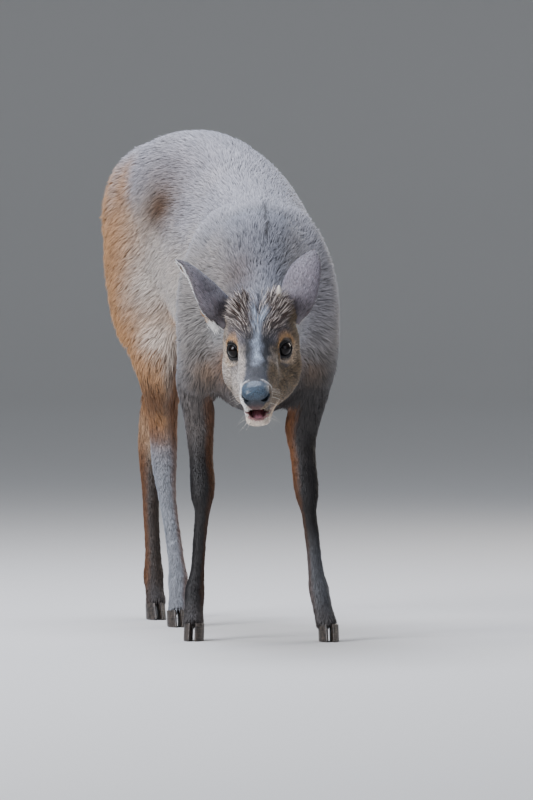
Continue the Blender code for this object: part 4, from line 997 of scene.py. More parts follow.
def bridge_layers(points, facing_up):
    """Grey bridge between two black stripes, its cool gloss as a painted highlight, its dark end
    and the brows.
    """
    forward, outward, _ = head_axes_of(points)
    side = np.abs(outward)
    wander = 0.0022 * mottle(points, 0.018, 5)
    middle = np.interp(forward, (-0.02, 0.01, 0.05, 0.09), (0.019, 0.0150, 0.0115, 0.0090))
    half = np.interp(forward, (-0.01, 0.03, 0.09), (0.0062, 0.0055, 0.0035))
    return (
        ("bridge", smoothstep(0.0165, 0.0105, side - smoothstep(0.09, 0.12, forward) * 0.004)
         * smoothstep(-0.01, 0.03, forward) * smoothstep(-0.2, 0.3, facing_up)),
        ("stripe", np.exp(-((side + wander - middle) / half) ** 2)
         * smoothstep(-0.025, 0.0, forward) * smoothstep(0.105, 0.075, forward)),
        # Painted highlight: a cool gloss down the middle of the bridge
        ("gloss", np.exp(-((side + wander) / 0.0048) ** 2) * smoothstep(-0.02, 0.01, forward)
         * smoothstep(0.088, 0.060, forward) * 0.8),
        ("stripe", np.exp(-(side / 0.016) ** 2) * smoothstep(0.070, 0.092, forward)
         * smoothstep(-0.2, 0.3, facing_up) * 0.9),
        ("brow", smoothstep(0.010, 0.017, side) * smoothstep(0.035, 0.010, forward)
         * smoothstep(-0.03, 0.0, forward) * smoothstep(0.2, 0.6, facing_up) * 0.8),
    )


def crown_layers(points):
    """Dark crown with its fan of pale lines, a painted highlight along its middle, and the grey
    nape behind it.
    """
    forward, outward, _ = head_axes_of(points)
    side = np.abs(outward)
    crown = crown_share(points)
    return (
        ("crown", crown),
        ("pale_hair", crown * fan_lines(points) * 0.9),
        # Painted highlight along the middle of the crown
        ("gloss", np.exp(-(side / 0.0045) ** 2) * crown * smoothstep(-0.03, 0.0, forward)),
        ("nape", smoothstep(0.003, -0.003, side - 0.5 * (-0.028 - forward))),
        ("nape", smoothstep(-0.058, -0.070, forward)),
    )


def muzzle_layers(points):
    """White band, full on the lit side and faint on the shaded one as painted light, a white line
    along the pad, chin, the pad with its top painted as a blue highlight, and lower lip.
    """
    forward, outward, up = head_axes_of(points)
    side = np.abs(outward)
    muzzle = smoothstep(0.088, 0.108, forward)
    band = muzzle * smoothstep(0.010, 0.0145, side) * smoothstep(-0.004, -0.014, up)
    edge = (np.exp(-((pad_front(points) + 0.0028) / 0.0014) ** 2)
            * smoothstep(0.006, 0.012, side))
    pad = bare_nose(points)
    return (
        # The white band is real, and painted bright only on the lit right side: painted light
        ("lip_band", band * np.where(outward < 0, 1.0, 0.05)),
        ("lip_band", muzzle * edge * smoothstep(-0.032, -0.024, up) * 0.9),
        ("chin", smoothstep(0.045, 0.085, forward) * smoothstep(-0.046, -0.054, up)),
        ("lip_band", smoothstep(0.095, 0.112, forward) * smoothstep(-0.050, -0.0535, up) * 0.4),
        ("nose", pad),
        # Painted highlight: the top of the pad is painted a pale blue
        ("nose_top_highlight", pad * smoothstep(-0.025, -0.007, up + 0.0012 * mottle(points, 0.006, 44))),
        ("philtrum", pad * smoothstep(-0.024, -0.032, up) * smoothstep(0.013, 0.008, side)),
        ("lip_pink", lip_rim(points) * 0.85),
    )


def eye_layers(points, sign):
    """Pale below an eye, a ring round it that is tan above and pale below, its pale part painted
    stronger on the lit right side, a black lid.
    """
    forward, outward, up = head_axes_of(points)
    edge, distance = eye_edge(points, sign)
    centre, look, slant, lift = eye_frame(sign)
    away = points - centre
    rise = away @ lift
    above = smoothstep(-0.010, 0.006, up + 0.25 * forward)
    dark = np.hypot((away @ slant - 0.0005) / 0.0145,
                    rise / np.where(rise > 0, 0.0122, 0.0100))
    ring = np.exp(-((dark - 1.26) / 0.13) ** 2) * (away @ look > -0.004)
    rim = smoothstep(1.25, 1.05, edge) * smoothstep(0.0180, 0.0158, distance)
    return (
        ("under_eye", smoothstep(0.030, 0.019, distance) * (1 - above) * 0.6),
        ("eye_ring", np.exp(-((distance - 0.0180) / 0.0042) ** 2) * (0.20 + 0.35 * above)),
        # The pale lower ring is real, and painted stronger on the lit right side as painted light
        ("cheek_pale", ring * (1 - above) * np.where(outward < 0, 0.9, 0.4)),
        ("eye_ring", ring * above * 0.85),
        ("lid", np.maximum(rim, smoothstep(1.06, 0.92, dark) * (away @ look > 0))),
    )


def head_markings(points, normals):
    """Colour of the head, laid from the cheeks to the small dark marks."""
    facing_up = normals @ UP
    return laid(cheeks(points, facing_up), (
        *bridge_layers(points, facing_up), *crown_layers(points), *muzzle_layers(points),
        *eye_layers(points, -1), *eye_layers(points, 1),
    ))


print("head, mean linear colour:", head_markings(skin_points, skin_normals).mean(0).round(3))

# %% The colour of the whole skin


def markings(points, normals):
    """The coat's colour anywhere: body colours, with the head's laid over them."""
    head_share = place_shares(points)[0][:, None]
    colour = (body_markings(points, normals) * (1 - head_share)
              + head_markings(points, normals) * head_share)
    blotch = 1 + 0.07 * mottle(points, 0.030, 9) + 0.05 * mottle(points, 0.009, 12)
    return colour * blotch[:, None]


def paint(made, colour):
    """Store linear colours on the points as the attribute marks."""
    layer = made.data.attributes.new("marks", "FLOAT_COLOR", "POINT")
    rgba = np.column_stack([np.clip(colour, 0, 1), np.ones(len(colour))])
    layer.data.foreach_set("color", rgba.astype(np.float32).ravel())


skin_marks = markings(skin_points, skin_normals)
paint(skin, skin_marks * SKIN_SHARE)
print("mean coat colour, linear:", skin_marks.mean(0).round(3))

# %% [markdown]
# ## The lie of the coat
#
# Hair grows from nose to tail and down the legs. On the face it runs up the
# bridge, parts round each eye and fans up and out over the crown. The field
# below is a sum of simple directions, each weighed by place, laid flat on the
# skin by taking away its part along the normal, and turned a little by noise.

# %% Directions of the hair


def lie_of(points, normals):
    """Unit direction along the skin in which the hair lies."""
    head_share, neck_share, fore, hind = (share[:, None] for share in place_shares(points))
    hips = smoothstep(0.16, 0.36, points[:, 1])[:, None]
    along = np.array((-0.05, 0.95, 0.10)) * (1 - hips) - HIP_FORWARD * hips
    beside = (1 - np.abs(normals[:, 2]))[:, None]
    body = along - Z * (0.45 + 0.35 * hips) * beside
    on_neck = np.array((0.0, 0.90, 0.34)) - Z * 0.55 * beside
    body = body * (1 - neck_share) + on_neck * neck_share
    legs = np.clip(fore + hind, 0, 1)
    body = body * (1 - legs) + np.array((0.0, 0.10, -1.0)) * legs
    tail = tail_share(points)[:, None]
    body = body * (1 - tail) + TAIL_HANG * tail
    forward, outward, _ = head_axes_of(points)
    down = smoothstep(0.3, -0.5, normals @ UP) * 0.55
    spread = np.sign(outward) * smoothstep(0.03, -0.02, forward) * 0.30
    fan = crown_share(points) * np.clip(outward / 0.02, -1, 1) * 0.35
    face = -FORWARD - np.outer(down, UP) + np.outer(spread, LEFT) + np.outer(fan, LEFT)
    for sign in (-1, 1):
        away = points - on_head(0.0, sign * EYE_OUT, 0.0)
        distance = np.linalg.norm(away, axis=1)
        near = smoothstep(0.026, 0.014, distance)
        face = face + (away / distance[:, None]) * (near * 1.3)[:, None]
    lie = body * (1 - head_share) + face * head_share
    swirl = np.cross(normals, lie)
    turn = 0.20 * mottle(points, 0.050, 21) + 0.14 * mottle(points, 0.016, 22)
    lie = lie + swirl * turn[:, None]
    return unit(lie - normals * np.einsum("ij,ij->i", lie, normals)[:, None])


# %% Size of the hairs, and where there are none


def hair_plan(points):
    """Length, half width and rise of the tufts in metres, by place."""
    head_share, neck_share, fore, hind = place_shares(points)
    forward = head_axes_of(points)[0]
    legs = np.clip(fore + hind, 0, 1) * smoothstep(0.36, 0.26, points[:, 2])
    length = 0.0200 - 0.0030 * neck_share
    length = length * (1 - legs) + 0.0085 * legs
    half = 0.00068 * (1 - legs) + 0.00046 * legs
    face = np.interp(forward, (-0.09, -0.03, 0.03, 0.08, 0.12),
                     (0.0140, 0.0095, 0.0068, 0.0045, 0.0030))
    length = length * (1 - head_share) + face * head_share
    fine = np.interp(forward, (-0.09, -0.03, 0.05), (0.00060, 0.00038, 0.00028))
    half = half * (1 - head_share) + fine * head_share
    for sign in (-1, 1):
        length = length * (0.30 + 0.70 * smoothstep(0.015, 0.024, from_eye(points, sign)))
    crown = crown_share(points) * head_share
    length = length * (1 - crown) + 0.025 * crown
    half = half * (1 - crown) + 0.00042 * crown
    tail = tail_share(points)
    length = length * (1 - tail) + 0.040 * tail
    half = half * (1 - tail) + 0.0008 * tail
    rise = coat_depth(points) * 0.85 + 0.0004 + crown * 0.0085 + tail * 0.010
    return length, half, rise


def is_bare(points):
    """Four answers: on the nose pad, in the mouth, on a lid's rim, under a foot."""
    forward, outward, up = head_axes_of(points)
    side = np.abs(outward)
    pad = (bare_nose(points) > 0) | (lip_rim(points) > 0)
    table, skull = np.array(MOUTH_HOLLOW), np.array(SKULL)
    top, under, hollow = (np.interp(forward, table[:, 0], table[:, i]) for i in (1, 2, 3))
    high, wide = (top - under) / 2 + 0.0012, hollow + 0.0012
    oval_share = (side / wide) ** 2 + ((up - (top + under) / 2) / high) ** 2
    wall = np.interp(forward, skull[:, 0], skull[:, 3])
    gap = np.interp(forward, (0.058, 0.150), (0.0010, 0.0022))
    beside_line = np.abs(up - mouth_line(forward) + 0.0009 * (forward > 0.08))
    slit = (beside_line < gap) & (side < wall - 0.0030)
    mouth = (forward > 0.060) & ((oval_share < 1) | slit) & (forward < 0.124)
    lids = np.zeros(len(points), bool)
    for sign in (-1, 1):
        edge, distance = eye_edge(points, sign)
        centre, _, slant, lift = eye_frame(sign)
        ahead, rise = (points - centre) @ slant, (points - centre) @ lift
        on_rim = (edge < 1.09) & (distance < 0.0160) & (rise > -0.0096)
        in_front = (ahead > 0.001) & (rise > -0.0075) & (edge < 1.20) & (distance < 0.0170)
        lids |= on_rim | in_front
    return pad, mouth, lids, points[:, 2] < CORONET


# %% [markdown]
# ## Growing the tufts
#
# The export drops particle hair, so every tuft is real mesh: a thin blade
# folded along its middle like a roof, three points at the root, three half way
# and one at the tip, six triangles in all. Roots are drawn at random on the
# skin, more of them where the hair is short. Each tuft's patch on the map
# OFBake lies at its root's place on an unwrap of the skin itself, which is
# rolled off trunk, neck, head and legs like sleeves.

# %% Roots, blades and their map


def roots_on(points, triangles, weight, count, draw):
    """Random places on triangles, by area x weight: triangle numbers and corner shares."""
    a, b, c = (points[triangles[:, i]] for i in range(3))
    chance = np.linalg.norm(np.cross(b - a, c - a), axis=1) * weight[triangles].mean(1)
    total = np.cumsum(chance)
    pick = np.searchsorted(total, draw.random(count) * total[-1])
    one, two = np.sqrt(draw.random(count)), draw.random(count)
    return triangles[pick], np.column_stack([1 - one, one * (1 - two), one * two])


def between(values, corners, shares):
    """Values at the corners, mixed by their shares."""
    picked = values[corners]
    return (picked * (shares if values.ndim == 1 else shares[..., None])).sum(1)


def blades(root, normal, lie, length, half, rise):
    """Seven points a blade: root and middle rows of left, ridge, right, and the tip."""
    across = unit(np.cross(lie, normal)) * half[:, None]
    crest = normal * (half * 0.55)[:, None]
    base = root - normal * 0.0005
    middle = root + lie * (length * 0.48)[:, None] + normal * (rise * 0.72)[:, None]
    tip = root + lie * length[:, None] + normal * rise[:, None]
    return np.stack([base - across * 0.8, base + crest, base + across * 0.8,
                     middle - across, middle + crest, middle + across, tip], 1)


BLADE_FACES = np.array(((0, 1, 4), (0, 4, 3), (1, 2, 5), (1, 5, 4), (3, 4, 6), (4, 5, 6)))
BLADE_MAP = np.array(((0, 0), (0.5, 0), (1, 0), (0, 0.5), (0.5, 0.5), (1, 0.5), (0.5, 1.0))) - 0.5
BLADE_SHADE = np.array((0.62, 0.66, 0.62, 0.94, 1.0, 0.94, 1.16))       # dark root, light tip
PATCH = 0.003                   # size of a tuft's patch on the map
MAP_MARGIN = 0.005
CHEST_END, BARREL_END = 0.10, 0.28      # where one sleeve of the trunk gives way to the next


def grow(name, made_blades, colour, sleeve):
    """One mesh of many blades, with its colours and its OFBake map."""
    count = len(made_blades)
    faces = (BLADE_FACES[None] + 7 * np.arange(count)[:, None, None]).reshape(-1, 3)
    made = put(name, made_blades.reshape(-1, 3), faces, SHIFT)
    paint(made, (colour[:, None] * BLADE_SHADE[:, None]).reshape(-1, 3))
    flat = (sleeve[:, None] + BLADE_MAP * PATCH).reshape(-1, 2)[faces.ravel()]
    made.data.uv_layers.new(name="OFBake")
    made.data.uv_layers["OFBake"].uv.foreach_set("vector", flat.astype(np.float32).ravel())
    return made


def on_map(share):
    """Map coordinate of a share: margin + (1 - 2 x margin) x share, the share from 0 to 1."""
    return MAP_MARGIN + (1 - 2 * MAP_MARGIN) * np.clip(share, 0, 1)


def roll(angle, along, low, high):
    """Unwrap of a sleeve: the turn round it, and the way along it, each from 0 to 1."""
    return on_map(np.column_stack([(angle / (2 * np.pi)) % 1.0, (along - low) / (high - low)]))


def sleeves(points):
    """Name of the sleeve that each root is on, and its place on that sleeve's unwrap."""
    x, y, z = points.T
    head_share, neck_share, fore, hind = place_shares(points)
    forward, outward, up = head_axes_of(points)
    trunk, neck = np.array(TRUNK), np.array(NECK)[::-1]
    middle_x = np.interp(y, trunk[:, 1], trunk[:, 0])
    middle_z = np.interp(y, trunk[:, 1], (trunk[:, 2] + trunk[:, 3]) / 2)
    in_chest, in_barrel = y < CHEST_END, y < BARREL_END
    names = np.where(in_chest, "coat_chest",
                     np.where(in_barrel, "coat_barrel", "coat_hips")).astype("U24")
    flat = roll(np.arctan2(z - middle_z, x - middle_x), y, -0.16, 0.60)
    share = np.where(in_chest, (y + 0.2) / 0.3,
                     np.where(in_barrel, (y - CHEST_END) / 0.18, (y - BARREL_END) / 0.33))
    flat[:, 1] = on_map(share)
    on_neck = neck_share > 0.5
    names[on_neck] = "coat_neck"
    neck_middle = np.interp(y, neck[:, 1], neck[:, 2])
    flat[on_neck] = roll(np.arctan2(z - neck_middle, x - MIDLINE), y, -0.34, 0.0)[on_neck]
    away = {leg: np.linalg.norm(points[:, :2] - leg_middle(points, leg), axis=1)
            for leg in ("hindleg_right", "hindleg_left")}
    right_hind = away["hindleg_right"] < away["hindleg_left"]
    for leg, chosen, top in (("foreleg_right", (fore > 0.5) & (x < MIDLINE), 0.38),
                             ("foreleg_left", (fore > 0.5) & (x >= MIDLINE), 0.38),
                             ("hindleg_right", (hind > 0.5) & right_hind, 0.40),
                             ("hindleg_left", (hind > 0.5) & ~right_hind, 0.40)):
        centre = leg_middle(points, leg)
        around = np.arctan2(y - centre[:, 1], x - centre[:, 0])
        names[chosen] = "coat_" + leg
        flat[chosen] = roll(around, z, 0.0, top)[chosen]
    on_face = head_share > 0.5
    names[on_face] = np.where(crown_share(points) > 0.5, "coat_crown",
                              np.where(forward > 0.0, "coat_face", "coat_cheeks"))[on_face]
    flat[on_face] = roll(np.arctan2(up + 0.018, outward), forward, -0.10, 0.14)[on_face]
    share = np.where(forward > 0, forward / 0.14, (forward + 0.10) / 0.10)
    flat[on_face, 1] = on_map(share)[on_face]
    on_tail = tail_share(points) > 0.5
    names[on_tail] = "coat_tail"
    spot = points - TAIL_ROOT
    around = np.arctan2(spot @ HIP_FORWARD, spot @ HIP_LEFT)
    flat[on_tail] = roll(around, -spot[:, 2], 0.0, 0.13)[on_tail]
    return names, flat


# %% Grow the coat
TUFTS = 226000
MOST_TUFTS = 33000              # in one piece
DARK_BELOW, LIGHT_ABOVE, STREAKED = 0.16, 0.86, 0.05    # shares of tufts that stand out
draw = np.random.default_rng(2024)
length, half, rise = hair_plan(skin_points)
bare = np.logical_or.reduce(is_bare(skin_points))
weight = np.where(bare, 0.0, 1 / (length * half))
weight = weight * (1 + 1.2 * crown_share(skin_points) + 1.5 * tail_share(skin_points))
corners, shares = roots_on(skin_points, skin_triangles, weight, TUFTS, draw)
root = between(skin_points, corners, shares)
normal = unit(between(skin_normals, corners, shares))
kept = ~np.logical_or.reduce(is_bare(root))
root, normal = root[kept], normal[kept]
length, half, rise = hair_plan(root)
clump = mottle(root, 0.012, 31)
length = length * draw.uniform(0.75, 1.2, len(root)) * (1 + 0.15 * clump)
half = half * draw.uniform(0.7, 1.25, len(root))
rise = rise * draw.uniform(0.55, 1.1, len(root)) * (1 + 0.18 * clump)
lie = lie_of(root, normal)
lie = unit(lie + np.cross(normal, lie) * draw.normal(0, 0.10, len(root))[:, None])
on_face = place_shares(root)[0]
variety = draw.normal(0, 1, len(root)) * (0.09 + 0.13 * on_face)
colour = markings(root, normal) * (1 + variety + 0.06 * clump)[:, None]
tick = draw.random(len(root))
dark, light = tick < DARK_BELOW, tick > LIGHT_ABOVE
colour[dark] *= (1 - 0.35 - 0.25 * on_face[dark])[:, None]
colour[light] *= (1 + 0.25 + 0.45 * on_face[light])[:, None]
streak = (draw.random(len(root)) < STREAKED) & (crown_share(root) > 0.3)
colour[streak] = COATS["pale_hair"] * 0.85
made_blades = blades(root, normal, lie, length, half, rise)
names, flat = sleeves(root)
coats = []
for name in np.unique(names):
    chosen = np.nonzero(names == name)[0]
    parts = np.array_split(chosen, -(-len(chosen) // MOST_TUFTS))
    for number, some in enumerate(parts):
        coats.append(grow(f"{name}_{number + 1}", made_blades[some], colour[some], flat[some]))
print("tufts:", len(root), "in", len(coats), "pieces:",
      [(made.name, len(made.data.polygons)) for made in coats])

# %% [markdown]
# ## Eyes and the rims of the lids
#
# The eyeball is a ball with a slightly raised cornea, almost black, so that
# what one sees is the gloss. Round the almond window runs a thin moist rim,
# a closed ring of small sections carried along the window's edge. It hides
# where skin meets ball, as the real lid margin does.

# %% Eyeballs and lid rims


def eyeball(sign):
    """Ball of the eye: radius x (1 + a low bell round the way it looks)."""
    centre, look, slant, lift = eye_frame(sign)
    points, triangles = egg(centre, (1, 1, 1), (slant, lift, look), rows=40, sides=56)
    direction = points - centre
    turn = np.arccos(np.clip(direction @ look, -1, 1))
    radius = (EYE_RADIUS - 0.0002) * (1 + 0.045 * np.exp(-(turn / 0.55) ** 2))
    colour = np.tile(linear("#080605"), (len(points), 1))
    iris = smoothstep(0.62, 0.50, turn)[:, None]
    colour = colour * (1 - iris) + linear("#150c08") * iris
    off_pupil = np.hypot(direction @ slant / 0.38, direction @ lift / 0.20)
    pupil = smoothstep(1.1, 0.8, off_pupil)[:, None]
    colour = colour * (1 - pupil) + linear("#020202") * pupil
    return centre + direction * radius[:, None], triangles, colour


def ring_along(path, outward, radius, sides=8):
    """Closed ring: small circles square to a closed path, one of their axes outward."""
    along = unit(np.roll(path, -1, 0) - np.roll(path, 1, 0))
    beside = unit(np.cross(along, outward))
    angle = 2 * np.pi * np.arange(sides) / sides
    points = (path[:, None] + radius * (np.cos(angle)[None, :, None] * outward[:, None]
                                        + np.sin(angle)[None, :, None] * beside[:, None]))
    count = len(path)
    row, side = grid_walk(count, sides)
    after, row_after = (side + 1) % sides, (row + 1) % count
    a, b = row * sides + side, row * sides + after
    c, d = row_after * sides + after, row_after * sides + side
    triangles = np.vstack([np.column_stack([a, b, c]), np.column_stack([a, c, d])])
    points = points.reshape(-1, 3)
    return points, facing_out(points, triangles, points.mean(0))


def lid_edge(sign, count=96):
    """The almond's edge on the ball, and the direction out of the eye there."""
    centre, look, slant, lift = eye_frame(sign)
    window = oval(count, LID_POWER, LID_POWER)
    across, up = (part * half for part, half in zip(window, LID_HALF))
    ahead = np.sqrt(EYE_RADIUS ** 2 - across ** 2 - up ** 2)
    direction = unit(look * ahead[:, None] + slant * across[:, None] + lift * up[:, None])
    return centre + direction * (EYE_RADIUS + 0.0008), direction


eyes, rims = {}, []
for sign, side in ((1, "left"), (-1, "right")):
    points, triangles, colour = eyeball(sign)
    eyes[side] = put("eyeball_" + side, points, triangles, SHIFT)
    paint(eyes[side], colour)
    rims.append(ring_along(*lid_edge(sign), 0.0010))
lid_rims = put("lid_rims", *pile(rims), SHIFT)
print("eyes:", [len(made.data.polygons) for made in eyes.values()],
      "rims:", len(lid_rims.data.polygons))

# %% [markdown]
# ## Ears
#
# Each ear is a leaf rolled into a cup, thin as card, that opens backward here.
# Its section is a crescent: an outer arc round the back and an inner arc a
# little smaller, joined at the rims. The leaf's width and depth change along
# it. Fine hairs lie toward the tip, and a pale fringe follows the rim.

# %% Ear shells
EARS = {    # root, tip, and the way the cup opens
    "left": ((0.038, -0.268, 0.447), (0.064, -0.218, 0.541), (0.35, 0.85, -0.10)),
    "right": ((-0.056, -0.270, 0.442), (-0.124, -0.236, 0.528), (-0.55, 0.62, -0.40)),
}
EAR_TWIST = {"left": 0.0, "right": -0.9}        # turn of the blade from root to tip
# The right ear is painted darker overall, as painted shade
EAR_SHADE_TONE = {"left": 1.0, "right": 0.72}
EAR_LEAF = np.array((       # share of the length, half width
    (-0.05, 0.0080), (0.03, 0.0115), (0.12, 0.0190), (0.26, 0.0250), (0.45, 0.0265),
    (0.68, 0.0230), (0.83, 0.0165), (0.94, 0.0085), (1.00, 0.0012),
))
INSIDE = 10.0                   # added to the turns of a leaf's inner face, to tell it apart
EAR_HAIRS = 5200


def ear_axes(side):
    """Root, tip, the leaf's length direction, its back and its width direction."""
    root, tip, opening = (np.array(value) for value in EARS[side])
    along = unit(tip - root)
    back = unit(-opening + along * (opening @ along))
    return root, tip, along, back, np.cross(along, back)


def ear_shell(side, rows=64, arc=26):
    """Crescent rings along the leaf; also each point's share along and turn round."""
    root, tip, _, back, across = ear_axes(side)
    share = np.linspace(-0.05, 0.995, rows)
    wide = np.interp(share, *smooth_rows(EAR_LEAF, 8).T) - 0.0006
    deep = wide * (0.95 - 0.45 * np.clip(share / 0.35, 0, 1))
    bow = 0.010 * np.sin(np.pi * share.clip(0, 1))
    centre = root + np.outer(share, tip - root) + np.outer(bow, back)
    turn = np.radians(np.linspace(-122, 122, arc))
    wall = np.minimum(0.0015, wide * 0.35)
    twist = (EAR_TWIST[side] * ((share - 0.25) / 0.6).clip(0, 1))[:, None]
    wide_way = (across * np.cos(twist) + back * np.sin(twist))[:, None]
    deep_way = (back * np.cos(twist) - across * np.sin(twist))[:, None]
    outer = (centre[:, None] + wide_way * (wide[:, None] * np.sin(turn))[..., None]
             + deep_way * (deep[:, None] * np.cos(turn))[..., None])
    inner = (centre[:, None] + wide_way * ((wide - wall * 0.8)[:, None] * np.sin(turn))[..., None]
             + deep_way * ((deep - wall)[:, None] * np.cos(turn) - 0.0002)[..., None])
    rings = np.concatenate([outer, inner[:, ::-1]], axis=1)
    around = np.concatenate([turn, turn[::-1] + INSIDE])
    points, triangles = tube(rings)
    shares = np.concatenate([np.repeat(share, 2 * arc), (share[0], share[-1])])
    turns = np.concatenate([np.tile(around, rows), (0.0, 0.0)])
    return points, triangles, shares, turns


def bend_of(turn):
    """Turn round the leaf, the same for its outer and its inner face."""
    return np.where(turn > INSIDE / 2, turn - INSIDE, turn)


def ear_colour(side, share, turn):
    """Dark grey back darker to the tip, pale rim, pale inside; painted shade where the back curves
    away, deep in the cup and in the slit at the root.
    """
    inside, bend = turn > INSIDE / 2, np.abs(bend_of(turn))
    colour = laid(plain("ear_back", share), (
        # Darker to the tip, and painted shade where the back curves away at the sides
        ("ear_dark_and_shade", smoothstep(0.55, 0.95, share) * 0.55 + smoothstep(1.2, 1.7, bend) * 0.45),
        # Painted shade toward the root
        ("ear_dark_and_shade", smoothstep(0.30, 0.10, share) * 0.5),
        ("ear_inside", inside * 1.0),
        # Painted shade deep in the cup
        ("ear_dark_and_shade", inside * smoothstep(1.5, 0.3, bend) * 0.6),
    ))
    return laid(colour * EAR_SHADE_TONE[side], (("ear_rim", smoothstep(1.86, 2.05, bend)),))


ears, ear_coats = {}, []
for side in ("left", "right"):
    points, triangles, share, turn = ear_shell(side)
    ears[side] = put("ear_shell_" + side, points, triangles, SHIFT)
    paint(ears[side], ear_colour(side, share, turn))
    normals = normals_of(ears[side].data)
    _, _, along, _, across = ear_axes(side)
    in_cup = (turn > INSIDE / 2) & (np.abs(bend_of(turn)) < 1.2)
    weight = np.where(in_cup, 0.35, 1.0) * smoothstep(-0.02, 0.03, share)
    corners, mix = roots_on(points, triangles, weight, EAR_HAIRS, draw)
    place, up_here = between(points, corners, mix), unit(between(normals, corners, mix))
    here, around = between(share, corners, mix), between(turn, corners, mix)
    bend = between(bend_of(turn), corners, mix)
    sideways = 0.18 + 0.30 * (np.abs(bend) > 1.8)
    lie = along + across * np.sign(bend)[:, None] * sideways[:, None]
    lie = unit(lie - up_here * np.einsum("ij,ij->i", lie, up_here)[:, None])
    rim = np.abs(bend) > 1.75
    size = np.where(rim, 0.0050, 0.0062) - 0.002 * here
    size = size * draw.uniform(0.7, 1.25, len(place))
    colour = ear_colour(side, here, around) * (1 + draw.normal(0, 0.10, len(place)))[:, None]
    tick = draw.random(len(place))
    colour = colour * np.where(tick < 0.20, 0.5, np.where(tick > 0.82, 1.5, 1.0))[:, None]
    hairs = blades(place, up_here, lie, size, np.full(len(place), 0.00036),
                   np.where(rim, 0.0006, 0.0008))
    sleeve = roll(bend + 3.1416 * (around > INSIDE / 2), here, -0.05, 1.0)
    ear_coats.append(grow("ear_hair_" + side, hairs, colour, sleeve))

# %% Tuft at the right ear's outer notch
NOTCH = np.array(((-0.0840, -0.272, 0.4610), (-0.0705, -0.278, 0.4385)))    # its two ends
NOTCH_SPREAD = (0.0022, 0.0014, 0.0024)
count = 620
along = draw.random(count)[:, None]
place = NOTCH[0] + (NOTCH[1] - NOTCH[0]) * along + draw.normal(0, 1, (count, 3)) * NOTCH_SPREAD
lie = unit(np.array((0.50, -0.20, -0.80)) + draw.normal(0, 0.07, (count, 3)))
up_here = unit(np.cross(np.cross(lie, (-0.2, -1.0, 0.2)), lie))
hairs = blades(place, up_here, lie, draw.uniform(0.004, 0.011, count),
               np.full(count, 0.0003), np.full(count, 0.0006))
sleeve = roll(np.linspace(0, 6, count), draw.random(count), 0.0, 1.0)
colour = COATS["eye_ring"] + (COATS["white"] - COATS["eye_ring"]) * smoothstep(0.25, 0.65, along)
colour = colour * draw.uniform(0.75, 1.0, (count, 1))
ear_coats.append(grow("ear_notch_tuft", hairs, colour, sleeve))
print("ear shells:", [len(made.data.polygons) for made in ears.values()],
      "hairs:", [len(made.data.polygons) // len(BLADE_FACES) for made in ear_coats])

# %% [markdown]
# ## Tongue, antler and hooves
#
# The tongue is a flat loft with a groove along it. The antler is a bare spike
# about two centimetres long, with shallow furrows and a thicker root. Each
# hoof is a pair of horn claws, flat below, pointed in front, with fine growth
# rings, and two dewclaws sit behind the pastern.

# %% Tongue and antler
points, triangles = head_solid(TONGUE, sides=40, steps=8, lower_power=2.0)
forward, outward, up = head_axes_of(points)
points = points - UP * (0.0007 * np.exp(-(outward / 0.0016) ** 2) * (up > -0.0545))[:, None]
tongue = put("tongue_soft", points, triangles, SHIFT)

LEAN = unit(UP + LEFT * 0.10 - FORWARD * 0.15)
SPIKE_AT, SPIKE_LENGTH = on_head(-0.050, 0.0265, 0.050), 0.021
spike_rows = [(*(SPIKE_AT + LEAN * SPIKE_LENGTH * share), size, size)
              for share, size in ((-0.35, 0.0050), (0.0, 0.0044), (0.12, 0.0039),
                                  (0.5, 0.0035), (0.85, 0.0021), (0.985, 0.0008))]
points, triangles = limb_solid(spike_rows, LEFT, sides=36, steps=8)
height = (points - SPIKE_AT) @ LEAN
axis = points - SPIKE_AT - np.outer(height, LEAN)
around = np.arctan2(axis @ np.cross(LEAN, LEFT), axis @ LEFT)
furrow = (0.05 * np.sin(9 * around + 1.3 * np.sin(height * 500))
          * smoothstep(SPIKE_LENGTH, 0.012, height))
antler = put("antler_spike", points + axis * furrow[:, None], triangles, SHIFT)

# %% Hooves
FEET = {    # middle of the pair of claws, heading of the toes, fetlock
    "fore_left": ((0.0865, -0.040), 6.0, (0.0735, -0.014, 0.066)),
    "fore_right": ((-0.1010, -0.022), -6.0, (-0.0993, 0.004, 0.062)),
    "hind_left": ((-0.1610, 0.502), 14.0, (-0.1655, 0.530, 0.058)),
    "hind_right": ((-0.1280, 0.316), 10.0, (-0.1275, 0.344, 0.059)),
}


def heading_axes(heading):
    """Toe direction and the direction to the animal's left, turned by the heading."""
    turn = np.radians(heading)
    return np.array((np.sin(turn), -np.cos(turn), 0.0)), np.array((np.cos(turn), np.sin(turn), 0.0))


def claw(place, heading, side, rows=22, sides=48):
    """One claw: an egg-shaped outline, narrow at the toe, drawn in and back as it rises."""
    toe, out = heading_axes(heading)
    level = np.linspace(0, 1, rows)[:, None]
    angle = 2 * np.pi * np.arange(sides)[None] / sides
    along, wide = np.cos(angle), np.sin(angle)
    growth_rings = 0.012 * np.sin(level * 40) * smoothstep(0.1, 0.3, level)
    tuck = 1 - 0.10 * np.exp(-level / 0.03) + growth_rings
    width = 0.0138 * (0.5 + 0.46 * wide * tuck) * (1 - 0.42 * np.maximum(along, 0) ** 1.8)
    length = 0.022 * along * (1 - 0.26 * level) * tuck - 0.0075 * level
    height = level * (0.024 + 0.12 * length)
    return tube(np.array((*place, 0.0)) + toe * length[..., None]
                + out * side * (0.0008 + width)[..., None] + Z * height[..., None])


